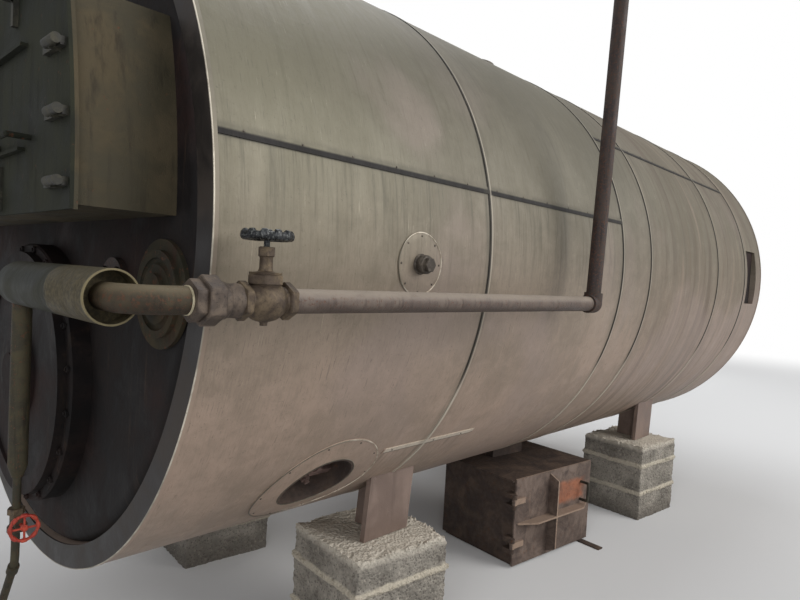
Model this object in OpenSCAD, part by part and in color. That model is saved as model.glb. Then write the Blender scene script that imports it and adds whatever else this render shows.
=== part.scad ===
// Horizontal shell boiler on masonry piers, with its front smokebox,
// side line and stop valve, manhole, legs and ash box.
// X runs along the boiler from its front rim, Z is up, and the part stands on Z = 0.

/* [Shell] */
// Height of the boiler's axis above the ground
axis_h = 1690; // [1550:5:2000]
// Outer diameter of the pressure shell
shell_d = 2200; // [2100:10:2300]
// Thickness of the shell plate
shell_t = 18; // [12:1:25]
// Thickness of the flanged end plates
end_t = 22; // [16:1:30]
// Radius of the knuckle where an end plate turns into its flange
end_knuckle = 45; // [30:1:70]
// Length of an end plate's flange, from its face to the weld
end_flange = 90; // [75:1:140]

/* [Cladding] */
// Thickness of the insulation with its sheet
jacket_t = 75; // [60:1:100]
// Length of the first band, at the front
band_1 = 1117; // [1080:1:1200]
// Length of the second band
band_2 = 1135; // [1000:1:1250]
// Length of the third, narrow band
band_3 = 353; // [300:1:450]
// Length of the fourth band
band_4 = 1146; // [1100:1:1250]
// Length of the fifth band
band_5 = 637; // [560:1:800]
// Length of the sixth band, round the rear smokebox
band_6 = 430; // [400:1:520]
// Width of the lap at each joint of two bands
lap_w = 26; // [16:1:40]
// Thickness of a lapped sheet
lap_t = 2.5; // [1.5:0.5:4]
// Height of the upper long seam above the axis, in degrees
seam_up = 11.8; // [8:0.1:20]
// Height of the rear long seam above the axis, in degrees
seam_rear = 35.6; // [25:0.1:50]
// Drop of the lower long seam below the axis, in degrees
seam_low = 39.2; // [30:0.1:42]
// Thickness of the closing rings at both ends
rim_t = 6; // [4:1:10]
// Width of the lip that turns over the cladding
rim_lip = 8; // [6:1:40]

/* [Smokebox] */
// Height of the smokebox floor above the axis
smoke_floor = 35; // [20:1:60]
// Distance of the smokebox's sides, at their widest, from the shell's side
smoke_side_gap = 120; // [100:5:200]
// Radius of the bowed sides
smoke_side_r = 1760; // [1500:10:2200]
// Depth of the smokebox roof's middle below the shell's top
smoke_roof_gap = 394; // [360:2:460]
// Radius of the arched roof
smoke_roof_r = 2820; // [2400:20:3400]
// Depth of the smokebox in front of the tube plate
smoke_depth = 240; // [200:5:300]
// Thickness of the casing plate
smoke_t = 8; // [5:1:12]
// Thickness of the door frame, and of the door
smoke_flange_t = 9; // [6:1:14]
// Width of the door frame
smoke_flange_w = 46; // [36:1:70]
// How far frame and door stand out past the casing
smoke_lap = 12; // [8:1:20]
// Height of the door's lower cross bar above the smokebox floor
door_bar_low = 150; // [120:5:200]
// Height of the door's upper cross bar above the smokebox floor
door_bar_high = 420; // [360:5:440]
// Length of the door's cross bars
door_bar_l = 1294; // [1100:2:1400]
// Distance between the door's two upright bars
door_bar_gap = 588; // [500:2:700]
// Length of a door clamp
clamp_l = 125; // [100:1:150]
// Width of a door clamp
clamp_w = 20; // [14:1:30]
// Diameter of a clamp's grip pin
clamp_pin_d = 24; // [18:1:28]
// Length of a clamp's grip pin
clamp_pin_l = 70; // [50:1:80]
// Height of the lowest side clamps above the smokebox floor
clamp_first = 50; // [40:5:90]
// Distance from one side clamp to the next, upwards
clamp_pitch = 160; // [130:5:170]
// Distance from one roof clamp to the next, across
clamp_roof_pitch = 362; // [320:2:400]
// Distance of the floor clamps from the door's middle
clamp_floor_y = 431; // [380:1:480]
// Distance of a smokebox door handle from the door's middle
handle_y = 549; // [500:1:600]
// Height of the handles' middle above the smokebox floor
handle_up = 180; // [165:5:220]
// Length of a smokebox door handle
handle_l = 300; // [240:5:360]
// How far the door handles stand out
handle_proud = 62; // [50:1:75]
// Diameter of the handles' rod
handle_rod_d = 16; // [12:1:20]

/* [Furnace front] */
// Depth of the furnace axis below the boiler's axis
furnace_drop = 505; // [480:5:530]
// Outer diameter of the furnace mouth
furnace_d = 920; // [800:10:960]
// Length of the furnace mouth in front of the plate
furnace_mouth_l = 65; // [50:1:90]
// Diameter of the furnace cover
furnace_cover_d = 860; // [840:5:900]
// Width of the raised rim of the furnace cover
furnace_cover_rim = 60; // [40:2:80]
// Diameter of the raised middle of the furnace cover
furnace_dish_d = 344; // [300:2:380]
// Diameter of the sight port in the furnace cover
furnace_port_d = 138; // [100:2:160]
// Width of the flange round the furnace mouth
furnace_lip = 54; // [44:1:60]
// Diameter of the two round hand hole covers
handhole_d = 290; // [240:2:310]
// Diameter of a hand hole
handhole_hole_d = 203; // [180:1:225]
// Distance of a hand hole cover from the shell's edge
handhole_edge = 12; // [8:1:60]
// Depth of the hand holes below the axis
handhole_drop = 170; // [120:1:190]
// Thickness of each step of a hand hole cover
handhole_step = 12; // [8:1:14]

/* [Manhole] */
// Place of the manhole along the boiler
manhole_x = 634; // [600:2:660]
// Angle of the manhole below the axis
manhole_low = 45.5; // [44:0.5:50]
// Outer diameter of the ring on the cladding
manhole_ring_d = 496; // [460:2:520]
// Inner diameter of the manhole neck
manhole_d = 276; // [264:2:300]
// Thickness of the neck
manhole_neck_t = 8; // [5:1:12]
// Diameter of the hole in the shell
manhole_hole_d = 236; // [210:2:246]
// Width of the seat that the lid presses on
manhole_seat = 20; // [14:1:30]
// Thickness of the lid at its middle
manhole_lid_t = 24; // [18:1:34]
// Width of a bridge bar
bridge_w = 30; // [22:1:40]
// Thickness of a bridge bar
bridge_t = 20; // [14:1:26]
// Distance between the two bridge bars
bridge_gap = 92; // [84:1:110]
// Diameter of a manhole bolt
bridge_bolt_d = 20; // [14:1:24]

/* [Inspection cover] */
// Place of the inspection cover along the boiler
inspect_x = 728; // [700:2:760]
// Angle of the inspection cover below the axis
inspect_low = 2.3; // [0:0.1:5]
// Diameter of the cover plate
inspect_d = 206; // [180:2:240]
// Diameter of the plugged stub
inspect_stub_d = 60; // [48:1:76]
// How far the stub stands out of the cover
inspect_proud = 34; // [20:1:50]

/* [Legs and piers] */
// Width of a leg plate, along the boiler
leg_w = 254; // [220:2:320]
// Thickness of a leg plate
leg_t = 25; // [16:1:36]
// Distance of a leg's outer face from the boiler's middle
leg_y = 742; // [700:2:800]
// Depth of the web behind a leg plate
web_l = 160; // [120:5:220]
// Thickness of the web
web_t = 16; // [12:1:24]
// Place of the front legs along the boiler
leg_front_x = 1090; // [1050:1:1160]
// Place of the rear legs along the boiler
leg_rear_x = 3740; // [3600:5:3850]
// Angle that the legs lean back from the upright
leg_lean = 5.5; // [0:0.5:8]
// Clearance of the cladding round what passes through it
pass_gap = 3; // [1:0.5:6]
// Depth of the piers' tops below the cladding's lowest point
pier_gap = 0; // [0:5:60]
// Length of a pier, along the boiler
pier_l = 500; // [480:5:640]
// Width of a pier, across the boiler
pier_w = 480; // [420:5:560]
// How far a pier stands out past the leg's face
pier_toe = 152; // [90:2:160]
// Angle that the piers are turned out of line
pier_turn = 6; // [0:0.5:8]
// Height of a pier's upper course
course_h = 135; // [100:5:200]
// Number of full courses below the upper one
pier_courses = 2; // [1:1:3]
// Depth of the joint between two courses
course_groove = 10; // [5:1:18]

/* [Ash box] */
// Place of the ash box's middle along the boiler
ash_x = 2544; // [2450:2:2600]
// Distance of the ash box's front from the boiler's middle
ash_y = 711; // [690:1:730]
// Angle that the ash box is turned out of line
ash_turn = 6.5; // [0:0.5:9]
// Width of the ash box
ash_w = 700; // [640:5:760]
// Depth of the ash box
ash_depth = 560; // [520:5:600]
// Clearance between the ash box and the cladding's lowest point
ash_gap = 15; // [10:1:60]
// Height of the ash box's floor above the ground
ash_foot = 20; // [15:1:40]
// Thickness of the ash box's plates
ash_t = 10; // [6:1:14]
// Width of the frame round the door opening
ash_frame_w = 45; // [35:1:60]
// How far the box's top plate stands out past its sides
ash_lid_past = 30; // [10:1:60]
// How far the flat bar under the right-hand foot stands out in front
ash_bar_l = 150; // [80:2:180]
// Width of the flat bar
ash_bar_w = 45; // [24:1:50]
// Thickness of the flat bar, which the door swings over
ash_bar_t = 8; // [5:1:9]
// How far the ash door laps past the box at each side
ash_door_side = 12; // [4:1:20]
// How far the ash door laps past the box at its top and bottom
ash_door_lap = 6; // [2:1:10]
// Thickness of the ash door
ash_door_t = 10; // [6:1:14]
// Height of the ribs on the ash door
ash_rib_h = 62; // [30:1:90]
// Thickness of the ribs on the ash door
ash_rib_t = 10; // [6:1:14]
// Distance of the upright rib from the ash door's middle
ash_rib_x = -50; // [-120:1:120]
// Depth of the cross rib below the ash door's top
ash_rib_down = 261; // [235:1:290]
// Gap between a rib's ends and the ash door's edges
ash_rib_end = 16; // [8:1:40]
// Length of the ash door's handle
ash_handle_l = 125; // [100:1:160]
// Distance of the handle from the ash door's right edge
ash_handle_in = 100; // [70:1:140]
// Depth of the handle's middle below the ash door's top
ash_handle_down = 172; // [140:1:220]
// Diameter of the hinge pin
hinge_pin_d = 14; // [10:1:20]
// Radial clearance of the hinge pin in its knuckles
hinge_play = 0.1; // [0.05:0.01:0.1]
// Length of a hinge knuckle
knuckle_l = 32; // [24:1:44]
// Length of the strap that ties a knuckle to the ash door
strap_l = 77; // [60:1:100]
// Distance of the lower hinge from the ash door's lower edge
hinge_low = 108; // [80:1:140]
// Distance of the upper hinge from the ash door's top
hinge_high = 138; // [100:1:180]
// Width of the neck between ash box and boiler
neck_w = 280; // [220:5:340]
// Depth of the neck between ash box and boiler
neck_l = 150; // [110:5:180]

/* [Side line] */
// Outer diameter of the pipe
pipe_d = 60.3; // [48:0.1:76]
// Wall of the pipe
pipe_t = 4; // [3:0.5:6]
// Distance of the side pipe's middle from the cladding
line_gap = 123; // [100:1:165]
// Depth of the side pipe below the axis
line_drop = 162; // [150:1:175]
// Distance of the cross pipe in front of the rim
cross_x = 247; // [240:1:280]
// Radius of the bend between cross pipe and side pipe
bend_r = 76; // [70:1:95]
// Diameter of the insulated sleeve
sleeve_d = 118; // [100:1:124]
// Wall of the sleeve's insulation and sheet
sleeve_t = 12; // [8:1:18]
// Distance of the drop pipe from the middle of a hand hole cover
drop_in = 304.5; // [290:0.5:340]
// How far the sleeve runs on past the drop pipe
sleeve_past = 36; // [35:1:80]
// Depth of the hollow at the sleeve's open end
sleeve_mouth = 45; // [30:1:60]
// Radius of the round at the sleeve's closed end
sleeve_round = 28; // [20:1:28]
// Length of the pipe stub on the tube plate
nozzle_l = 80; // [60:1:110]
// Length of the branch below the cross pipe, past the sleeve
branch_past = 6; // [4:1:20]
// Where the union begins, in front of the rim
union_x = 123; // [110:1:140]
// Length of the union
union_l = 82; // [70:1:95]
// Size of the union nut across its flats
union_af = 98; // [85:1:110]
// Size of the union's smaller hexagon across its flats
union_small_af = 82; // [74:1:90]
// Length of the union's smaller hexagon
union_small_l = 25; // [18:1:30]
// Length of the union nut
union_nut_l = 39; // [30:1:44]
// Diameter of the round tailpiece between union and valve
tail_d = 78; // [70:1:84]
// Place of the valve's middle along the boiler
valve_x = 63; // [55:1:75]
// Length of the valve body
valve_l = 140; // [130:1:180]
// Length of each end hexagon of the valve
valve_end_l = 20; // [14:1:26]
// Size of the valve's end hexagons across their flats
valve_af = 80; // [72:1:90]
// Diameter of the valve's round belly
valve_belly_d = 96; // [86:1:110]
// Diameter of the round casting between the end hexagons
valve_core_d = 67; // [62:1:72]
// Diameter of the plug under the valve's belly
valve_plug_d = 20; // [14:1:26]
// How far the plug stands out below the belly
valve_plug_l = 8; // [5:1:14]
// Height of the bonnet's seat above the pipe's middle
bonnet_up = 38; // [34:1:42]
// Size of the bonnet's hexagon across its flats
bonnet_af = 76; // [66:1:84]
// Height of the bonnet's hexagon
bonnet_hex_h = 22; // [16:1:30]
// Height of the thin collar on the bonnet's hexagon
bonnet_collar_h = 6; // [4:1:10]
// Height of the bonnet's neck
bonnet_neck_h = 36; // [16:1:44]
// Diameter of the bonnet's neck
bonnet_neck_d = 30; // [26:1:36]
// Size of the gland nut across its flats
gland_af = 36; // [30:1:42]
// Height of the gland nut
gland_h = 22; // [16:1:40]
// Diameter of the valve's stem
stem_d = 14; // [10:1:18]
// Diameter of the valve's hand wheel
wheel_d = 124; // [110:1:150]
// Height of the hand wheel above the pipe
wheel_h = 148; // [144:1:170]
// Thickness of the hand wheel's rim
wheel_rim = 18; // [12:1:20]
// Diameter of the hand wheel's hub
wheel_hub_d = 32; // [26:1:40]
// Number of lobes round the hand wheel's rim
wheel_lobes = 10; // [8:1:12]
// Place of the rear elbow along the boiler
elbow_x = 1689; // [1620:1:1760]
// Diameter of the elbow's sockets
elbow_d = 76; // [70:1:90]
// Length of the elbow's sockets
elbow_reach = 46; // [42:1:60]
// Lean of the riser towards the rear, in degrees
riser_lean = 3.5; // [0:0.5:5]
// Length of the riser, from elbow to flange
riser_l = 1400; // [1300:5:1500]
// Diameter of a pipe flange
flange_d = 165; // [150:1:185]
// Thickness of a pipe flange
flange_t = 18; // [14:1:24]
// Bolt circle of a pipe flange
flange_pcd = 125; // [110:1:140]
// Diameter of a flange bolt hole
flange_hole_d = 18; // [14:1:20]
// Number of bolt holes in a flange of the side line
flange_holes = 4; // [4:4:8]

/* [Drain] */
// Outer diameter of the drop pipe
drop_d = 48.3; // [42:0.1:54]
// Length of the drop pipe below the cross pipe
drop_l = 497; // [440:1:560]
// Length of the reducer
reducer_l = 30; // [24:1:50]
// Outer diameter of the thin drain pipe
drain_d = 21.3; // [17:0.1:27]
// Length of the thin pipe down to the drain valve
drain_l = 86; // [70:1:120]
// Size of the drain valve body across its flats
drain_af = 38; // [32:1:46]
// Length of the drain valve body
drain_valve_l = 64; // [56:1:90]
// Diameter of the drain valve's stem
drain_stem_d = 9; // [7:1:12]
// Diameter of the drain valve's wheel
drain_wheel_d = 78; // [66:1:90]
// Distance of the drain wheel from the drain pipe
drain_wheel_out = 74; // [66:1:90]
// Length of the straight tail below the drain valve
tail_l = 60; // [40:5:300]
// Radius of the tail's bend
tail_r = 90; // [70:1:140]
// Angle of the tail's bend
tail_turn = 35; // [20:1:50]
// Length of the socket that joins the tail's bend to its end
tail_socket_l = 26; // [20:1:40]
// Wall of that socket
tail_socket_t = 4; // [3:0.5:6]
// Length of the tail after its bend
tail_end_l = 560; // [400:5:640]

/* [Crown and rear] */
// Place of the steam nozzle along the boiler
steam_x = 2430; // [2400:2:2460]
// Diameter of the steam nozzle's pipe
steam_d = 168; // [140:1:170]
// Diameter of the steam nozzle's flange
steam_flange_d = 285; // [270:1:300]
// Bolt circle of the steam nozzle's flange
steam_pcd = 240; // [230:1:246]
// Diameter of the steam nozzle's bolt holes
steam_hole_d = 22; // [18:1:24]
// Place of the safety valve nozzle along the boiler
safety_x = 1600; // [1500:5:1750]
// Diameter of the safety valve nozzle's pipe
safety_d = 89; // [76:1:100]
// Diameter of the safety valve nozzle's flange
safety_flange_d = 196; // [186:1:210]
// Bolt circle of the safety valve nozzle's flange
safety_pcd = 156; // [146:1:164]
// Height of the crown nozzles above the cladding
nozzle_proud = 110; // [90:1:150]
// Place of the rear side hatch along the boiler
hatch_x = 4560; // [4545:1:4585]
// Length of the rear side hatch
hatch_l = 235; // [200:1:260]
// Height of the rear side hatch
hatch_h = 400; // [360:2:440]
// Depth of the hatch cover behind the cladding
hatch_sunk = 40; // [32:1:50]
// Height of the flue outlet above the axis
flue_up = 480; // [440:5:520]
// Diameter of the flue outlet
flue_d = 500; // [420:5:560]
// Length of the flue outlet
flue_l = 150; // [120:5:200]
// Width of the flue outlet's flange, past the pipe
flue_flange_w = 55; // [45:1:70]
// Distance of the flue bolts' circle from the pipe
flue_bolt_out = 30; // [26:1:36]
// Diameter of the rear cleaning cover
rear_cover_d = 640; // [560:5:700]
// Depth of the rear cleaning cover below the axis
rear_cover_drop = 430; // [390:5:480]
// Width of the cleaning cover's raised rim
rear_cover_rim = 50; // [30:1:70]
// Diameter of the cleaning cover's middle boss
rear_boss_d = 154; // [120:2:180]
// Thickness of the cleaning cover
rear_cover_t = 20; // [14:1:26]
// How far the cover's rim and boss stand out of it
rear_cover_step = 12; // [8:1:18]

/* [Hidden] */
$fn = 96;

// Gap between two pieces that seat on each other on a curve
seat = 0.3;
// Overshoot of a cut past the face that it opens
cut = 1;
// Number of sides for the wide rounds of shell and cladding
wide = 288;

shell_r = shell_d / 2;
jacket_r = shell_r + jacket_t;
boiler_l = band_1 + band_2 + band_3 + band_4 + band_5 + band_6;
x_1 = band_1;
x_2 = x_1 + band_2;
x_3 = x_2 + band_3;
x_4 = x_3 + band_4;
x_5 = x_4 + band_5;
smoke_half_w = shell_r - smoke_side_gap;
smoke_roof = shell_r - smoke_roof_gap;
handhole_y = sqrt(pow(shell_r - handhole_edge - handhole_d / 2, 2) - pow(handhole_drop, 2));
drop_y = handhole_y - drop_in;
pier_h = axis_h - jacket_r - pier_gap;
ash_top = axis_h - jacket_r - ash_gap;
ash_door_w = ash_w + 2 * ash_door_side;
ash_door_h = ash_top - ash_foot + 2 * ash_door_lap;
smoke_front = smoke_depth + 2 * smoke_flange_t;
front_reach = max(smoke_front + handle_proud, cross_x + sleeve_d / 2);
line_y = jacket_r + line_gap;
line_h = axis_h - line_drop;
bend_x = cross_x - bend_r;
bend_y = line_y - bend_r;
flue_end = boiler_l + flue_l + flange_t;

// Middle of the box round the whole part, which the origin lies under
mid_x = (flue_end - front_reach) / 2;
mid_y = (jacket_r + lap_t - line_y - flange_d / 2) / 2;

module put(x, y, z)
    translate([x - mid_x, y - mid_y, z])
        children();

// Children's Z axis turned to run along the boiler, at a height above the ground
module along(x, y = 0, z = axis_h)
    put(x, y, z)
        rotate([0, 90, 0])
            children();

// Round space about the boiler's axis
module core(x, l, r)
    along(x)
        cylinder(h = l, r = r, $fn = wide);

// Children's Z axis turned to point away from the boiler's axis on the near side
module radial(x, low)
    put(x, 0, axis_h)
        rotate([90 + low, 0, 0])
            children();

module tube(l, d, wall)
    difference() {
        cylinder(h = l, d = d);
        translate([0, 0, -cut])
            cylinder(h = l + 2 * cut, d = d - 2 * wall);
    }

module hex(l, af)
    cylinder(h = l, d = af / cos(30), $fn = 6);

module ring_holes(pcd, count, d, l)
    for (i = [0 : count - 1])
        rotate([0, 0, (i + 0.5) * 360 / count])
            translate([pcd / 2, 0, -cut])
                cylinder(h = l + 2 * cut, d = d);

// Flat flange with a bore and a circle of bolt holes, from Z = 0 up
module flange(d, bore, t, pcd, count, hole_d)
    difference() {
        cylinder(h = t, d = d);
        translate([0, 0, -cut])
            cylinder(h = t + 2 * cut, d = bore);
        ring_holes(pcd, count, hole_d, t);
    }

// Bar bent into a handle: two feet and a grip, standing up from Z = 0 along X
module bow_handle(l, proud, d) {
    for (side = [-1, 1])
        translate([side * (l - d) / 2, 0, 0])
            cylinder(h = proud - d / 2, d = d);
    translate([-(l - d) / 2, 0, proud - d / 2])
        rotate([0, 90, 0])
            cylinder(h = l - d, d = d);
    for (side = [-1, 1])
        translate([side * (l - d) / 2, 0, proud - d / 2])
            sphere(d = d);
}

/* Shell and ends */

module shell_cuts() {
    radial(manhole_x, manhole_low)
        cylinder(h = jacket_r, d = manhole_hole_d);
    radial(steam_x, -90)
        cylinder(h = jacket_r, d = steam_d - 2 * shell_t);
    radial(safety_x, -90)
        cylinder(h = jacket_r, d = safety_d - shell_t);
}

module pressure_shell()
    color([0.36, 0.33, 0.31])
        difference() {
            along(end_flange)
                tube(boiler_l - 2 * end_flange, shell_d, shell_t, $fn = wide);
            shell_cuts();
        }

// Flanged disc in profile: a flat face, a knuckle and a flange that runs back to the weld
module end_profile() {
    square([shell_r - end_knuckle, end_t]);
    translate([shell_r - end_knuckle, end_knuckle])
        intersection() {
            difference() {
                circle(r = end_knuckle);
                circle(r = end_knuckle - end_t);
            }
            translate([0, -end_knuckle])
                square(end_knuckle);
        }
    translate([shell_r - end_t, end_knuckle])
        square([end_t, end_flange - end_knuckle]);
}

module front_tube_plate()
    color([0.12, 0.1, 0.1])
        difference() {
            along(0)
                rotate_extrude($fn = wide)
                    end_profile();
            along(-cut, 0, axis_h - furnace_drop)
                cylinder(h = end_t + 2 * cut, d = furnace_d - 2 * shell_t);
            along(-cut, -drop_y, line_h)
                cylinder(h = end_t + 2 * cut, d = pipe_d - 2 * pipe_t);
            for (side = [-1, 1])
                along(-cut, side * handhole_y, axis_h - handhole_drop)
                    cylinder(h = end_t + 2 * cut, d = handhole_hole_d);
        }

module rear_end_plate()
    color([0.2, 0.18, 0.18]) {
        difference() {
            put(boiler_l, 0, axis_h)
                rotate([0, -90, 0])
                    rotate_extrude($fn = wide)
                        end_profile();
            along(boiler_l - end_t - cut, 0, axis_h + flue_up)
                cylinder(h = end_t + 2 * cut, d = flue_d - 2 * smoke_t);
        }
        rear_cover();
    }

/* Cladding */

// What passes through the cladding: manhole, stub, legs, crown nozzles and side hatch
module jacket_cuts() {
    radial(manhole_x, manhole_low)
        cylinder(h = jacket_r + 2 * lap_w, d = manhole_d + 2 * manhole_neck_t + 2 * pass_gap);
    radial(inspect_x, inspect_low)
        cylinder(h = jacket_r + 2 * lap_w, d = inspect_stub_d + 2 * pass_gap);
    radial(steam_x, -90)
        cylinder(h = jacket_r + 2 * lap_w, d = steam_d + 2 * pass_gap);
    radial(safety_x, -90)
        cylinder(h = jacket_r + 2 * lap_w, d = safety_d + 2 * pass_gap);
    for (x = [leg_front_x, leg_rear_x])
        for (side = [-1, 1])
            leg_plates(x, side, jacket_r / 2, pass_gap);
    put(hatch_x - hatch_l / 2, -jacket_r - lap_w, axis_h - hatch_h * 0.4)
        cube([hatch_l, jacket_r, hatch_h]);
}

// Plate that stands at x from the piers' tops up and leans back, seen from the side
module leaning_plate(x, y, w, t, h)
    put(x, y + t / 2, pier_h)
        rotate([90, 0, 0])
            linear_extrude(height = t)
                polygon([[-w / 2, 0], [w / 2, 0], [w / 2 + h * tan(leg_lean), h],
                         [-w / 2 + h * tan(leg_lean), h]]);

// A leg plate and the web behind it, grown all round by a clearance
module leg_plates(x, side, h, grow) {
    leaning_plate(x, side * (leg_y - leg_t / 2), leg_w + 2 * grow, leg_t + 2 * grow, h);
    leaning_plate(x, side * (leg_y - leg_t - web_l / 2), web_t + 2 * grow, web_l + 2 * grow, h);
}

// Ring of insulation and sheet whose front edge laps over the band before it
module band_ring(x, l, lapped)
    along(x)
        rotate_extrude($fn = wide) {
            translate([shell_r, 0])
                square([jacket_t, l]);
            if (lapped)
                translate([jacket_r, -lap_w / 2])
                    square([lap_t, lap_w]);
        }

// Cover strip over a seam that runs along the cladding
module seam_strip(x, l, low)
    radial(x, low)
        translate([0, -lap_w / 2, jacket_r - lap_t])
            cube([l, lap_w, 2 * lap_t]);

module seam_pair(x, l, low)
    for (turn = [low, 180 - low])
        seam_strip(x, l, turn);

module jacket_band_1()
    color([0.55, 0.49, 0.42])
        difference() {
            union() {
                band_ring(0, band_1, false);
                seam_pair(rim_lip, band_1 - rim_lip - lap_w / 2, -seam_up);
                seam_pair(band_1 * 0.78, band_1 * 0.22 - lap_w / 2, seam_low);
            }
            jacket_cuts();
        }

module jacket_band_2()
    color([0.53, 0.47, 0.4])
        difference() {
            union() {
                band_ring(x_1, band_2, true);
                seam_pair(x_1 + lap_w / 2, band_2 - lap_w, -seam_up);
                seam_pair(x_1 + lap_w / 2, band_2 * 0.25, seam_low);
            }
            jacket_cuts();
        }

module jacket_band_3()
    color([0.5, 0.45, 0.4])
        difference() {
            union() {
                band_ring(x_2, band_3, true);
                seam_pair(x_2 + lap_w / 2, band_3 - lap_w, -seam_rear);
            }
            jacket_cuts();
        }

module jacket_band_4()
    color([0.45, 0.41, 0.36])
        difference() {
            union() {
                band_ring(x_3, band_4, true);
                seam_pair(x_3 + lap_w / 2, band_4 - lap_w, -seam_rear);
            }
            jacket_cuts();
        }

module jacket_band_5()
    color([0.47, 0.43, 0.38])
        difference() {
            union() {
                band_ring(x_4, band_5, true);
                seam_pair(x_4 + lap_w / 2, band_5 - lap_w, -seam_rear);
            }
            jacket_cuts();
        }

module jacket_band_6()
    color([0.5, 0.46, 0.4])
        difference() {
            band_ring(x_5, band_6, true);
            jacket_cuts();
        }

// Ring that closes the end of the insulation, with a lip over the sheet
module rim_profile() {
    translate([shell_r, -rim_t])
        square([jacket_t + lap_t, rim_t]);
    translate([jacket_r, -rim_t])
        square([lap_t, rim_t + rim_lip]);
}

module front_rim()
    color([0.7, 0.67, 0.6])
        along(0)
            rotate_extrude($fn = wide)
                rim_profile();

module rear_rim()
    color([0.5, 0.47, 0.42])
        put(boiler_l, 0, axis_h)
            rotate([0, -90, 0])
                rotate_extrude($fn = wide)
                    rim_profile();

/* Smokebox */

// Outline across the smokebox: a flat floor, two bowed sides and an arched roof
module smoke_outline(grow = 0)
    intersection() {
        translate([-smoke_half_w * 2, smoke_floor - grow])
            square([smoke_half_w * 4, smoke_roof * 2]);
        translate([smoke_side_r - smoke_half_w, smoke_floor])
            circle(r = smoke_side_r + grow);
        translate([smoke_half_w - smoke_side_r, smoke_floor])
            circle(r = smoke_side_r + grow);
        translate([0, smoke_roof - smoke_roof_r])
            circle(r = smoke_roof_r + grow);
    }

// Outline stood up across the boiler and given a thickness forward from x
module smoke_plate(x, t)
    put(x - t, 0, axis_h)
        rotate([90, 0, 90])
            linear_extrude(height = t)
                children();

module smokebox_casing()
    color([0.33, 0.31, 0.23]) {
        smoke_plate(0, smoke_depth)
            difference() {
                smoke_outline();
                smoke_outline(-smoke_t);
            }
        smokebox_frame();
    }

module smokebox_frame()
    smoke_plate(-smoke_depth, smoke_flange_t)
        difference() {
            smoke_outline(smoke_lap);
            smoke_outline(smoke_lap - smoke_flange_w);
        }

module smokebox_door()
    color([0.1, 0.1, 0.09]) {
        smoke_plate(-smoke_depth - smoke_flange_t, smoke_flange_t)
            smoke_outline(smoke_lap);
        smoke_door_ribs();
    }

// Stiffening bars on the door: two across, and a pair upright in the middle
module smoke_door_ribs() {
    bar = smoke_flange_t;
    for (up = [door_bar_low, door_bar_high])
        put(-smoke_front - 2 * bar, -door_bar_l / 2, axis_h + smoke_floor + up)
            cube([2 * bar, door_bar_l, bar]);
    for (side = [-1, 1])
        put(-smoke_front - 2 * bar, side * door_bar_gap / 2 - bar / 2, axis_h + smoke_floor + smoke_lap)
            cube([2 * bar, bar, smoke_roof - smoke_floor - 4 * smoke_lap]);
}

// Clamp laid over the door's edge, with its eye and a round grip pin that points outwards
module clamp() {
    translate([-clamp_edge, -clamp_w / 2, 0])
        cube([clamp_l, clamp_w, clamp_t]);
    cylinder(h = clamp_t + clamp_pin_d / 2, d = clamp_w * 1.4);
    translate([clamp_w, 0, clamp_t + clamp_pin_d / 2])
        rotate([0, -90, 0])
            cylinder(h = clamp_pin_l, d = clamp_pin_d);
}

// Thickness of a clamp's bar
clamp_t = smoke_flange_t * 1.5;
// Distance of a clamp's eye from the door's edge
clamp_edge = clamp_l / 3;

// A clamp at the door's edge, at a place across and up, pointing inwards by its angle
module clamp_at(y, z, turn)
    put(-smoke_front, y, axis_h + z)
        rotate([0, -90, 0])
            rotate([0, 0, turn])
                clamp();

// Half width of the smokebox side at a height above the axis
function side_y(z) = smoke_half_w - smoke_side_r + sqrt(pow(smoke_side_r, 2) - pow(z - smoke_floor, 2));
// Height of the roof above the axis, at a distance across
function roof_z(y) = smoke_roof - smoke_roof_r + sqrt(pow(smoke_roof_r, 2) - pow(y, 2));

module smokebox_clamps()
    color([0.25, 0.24, 0.2]) {
        for (side = [-1, 1])
            for (i = [0 : 2])
                side_clamp(side, smoke_floor + clamp_first + i * clamp_pitch);
        for (i = [-1.5 : 1.5])
            clamp_at(i * clamp_roof_pitch, roof_z(i * clamp_roof_pitch) - clamp_edge, 180);
        for (side = [-1, 1])
            clamp_at(side * clamp_floor_y, smoke_floor + clamp_edge, 0);
    }

module side_clamp(side, z)
    clamp_at(side * (side_y(z) - clamp_edge), z, side < 0 ? 90 : -90);

module smokebox_handles()
    color([0.16, 0.16, 0.15])
        for (side = [-1, 1])
            put(-smoke_front, side * handle_y, axis_h + smoke_floor + handle_up)
                rotate([0, -90, 0])
                    rotate([0, 0, 90])
                        bow_handle(handle_l, handle_proud, handle_rod_d);

/* Furnace front */

module furnace_mouth()
    color([0.14, 0.12, 0.12])
        along(-furnace_mouth_l, 0, axis_h - furnace_drop)
            rotate_extrude()
                difference() {
                    union() {
                        translate([furnace_d / 2 - shell_t, 0])
                            square([shell_t, furnace_mouth_l]);
                        translate([furnace_d / 2 - furnace_lip, 0])
                            square([furnace_lip, shell_t]);
                    }
                    translate([furnace_d / 2, 0])
                        rotate([0, 0, 45])
                            square(shell_t / 2, center = true);
                }

// Round cover with a raised rim, a dished middle and a sight port
module furnace_cover()
    color([0.16, 0.14, 0.13])
        along(-furnace_mouth_l, 0, axis_h - furnace_drop)
            rotate([180, 0, 0])
                rotate_extrude() {
                    square([furnace_cover_d / 2, shell_t]);
                    translate([furnace_cover_d / 2 - furnace_cover_rim, 0])
                        square([furnace_cover_rim, 1.6 * shell_t]);
                    square([furnace_dish_d / 2, 2 * shell_t]);
                    square([furnace_port_d / 2, 3.2 * shell_t]);
                }

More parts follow.
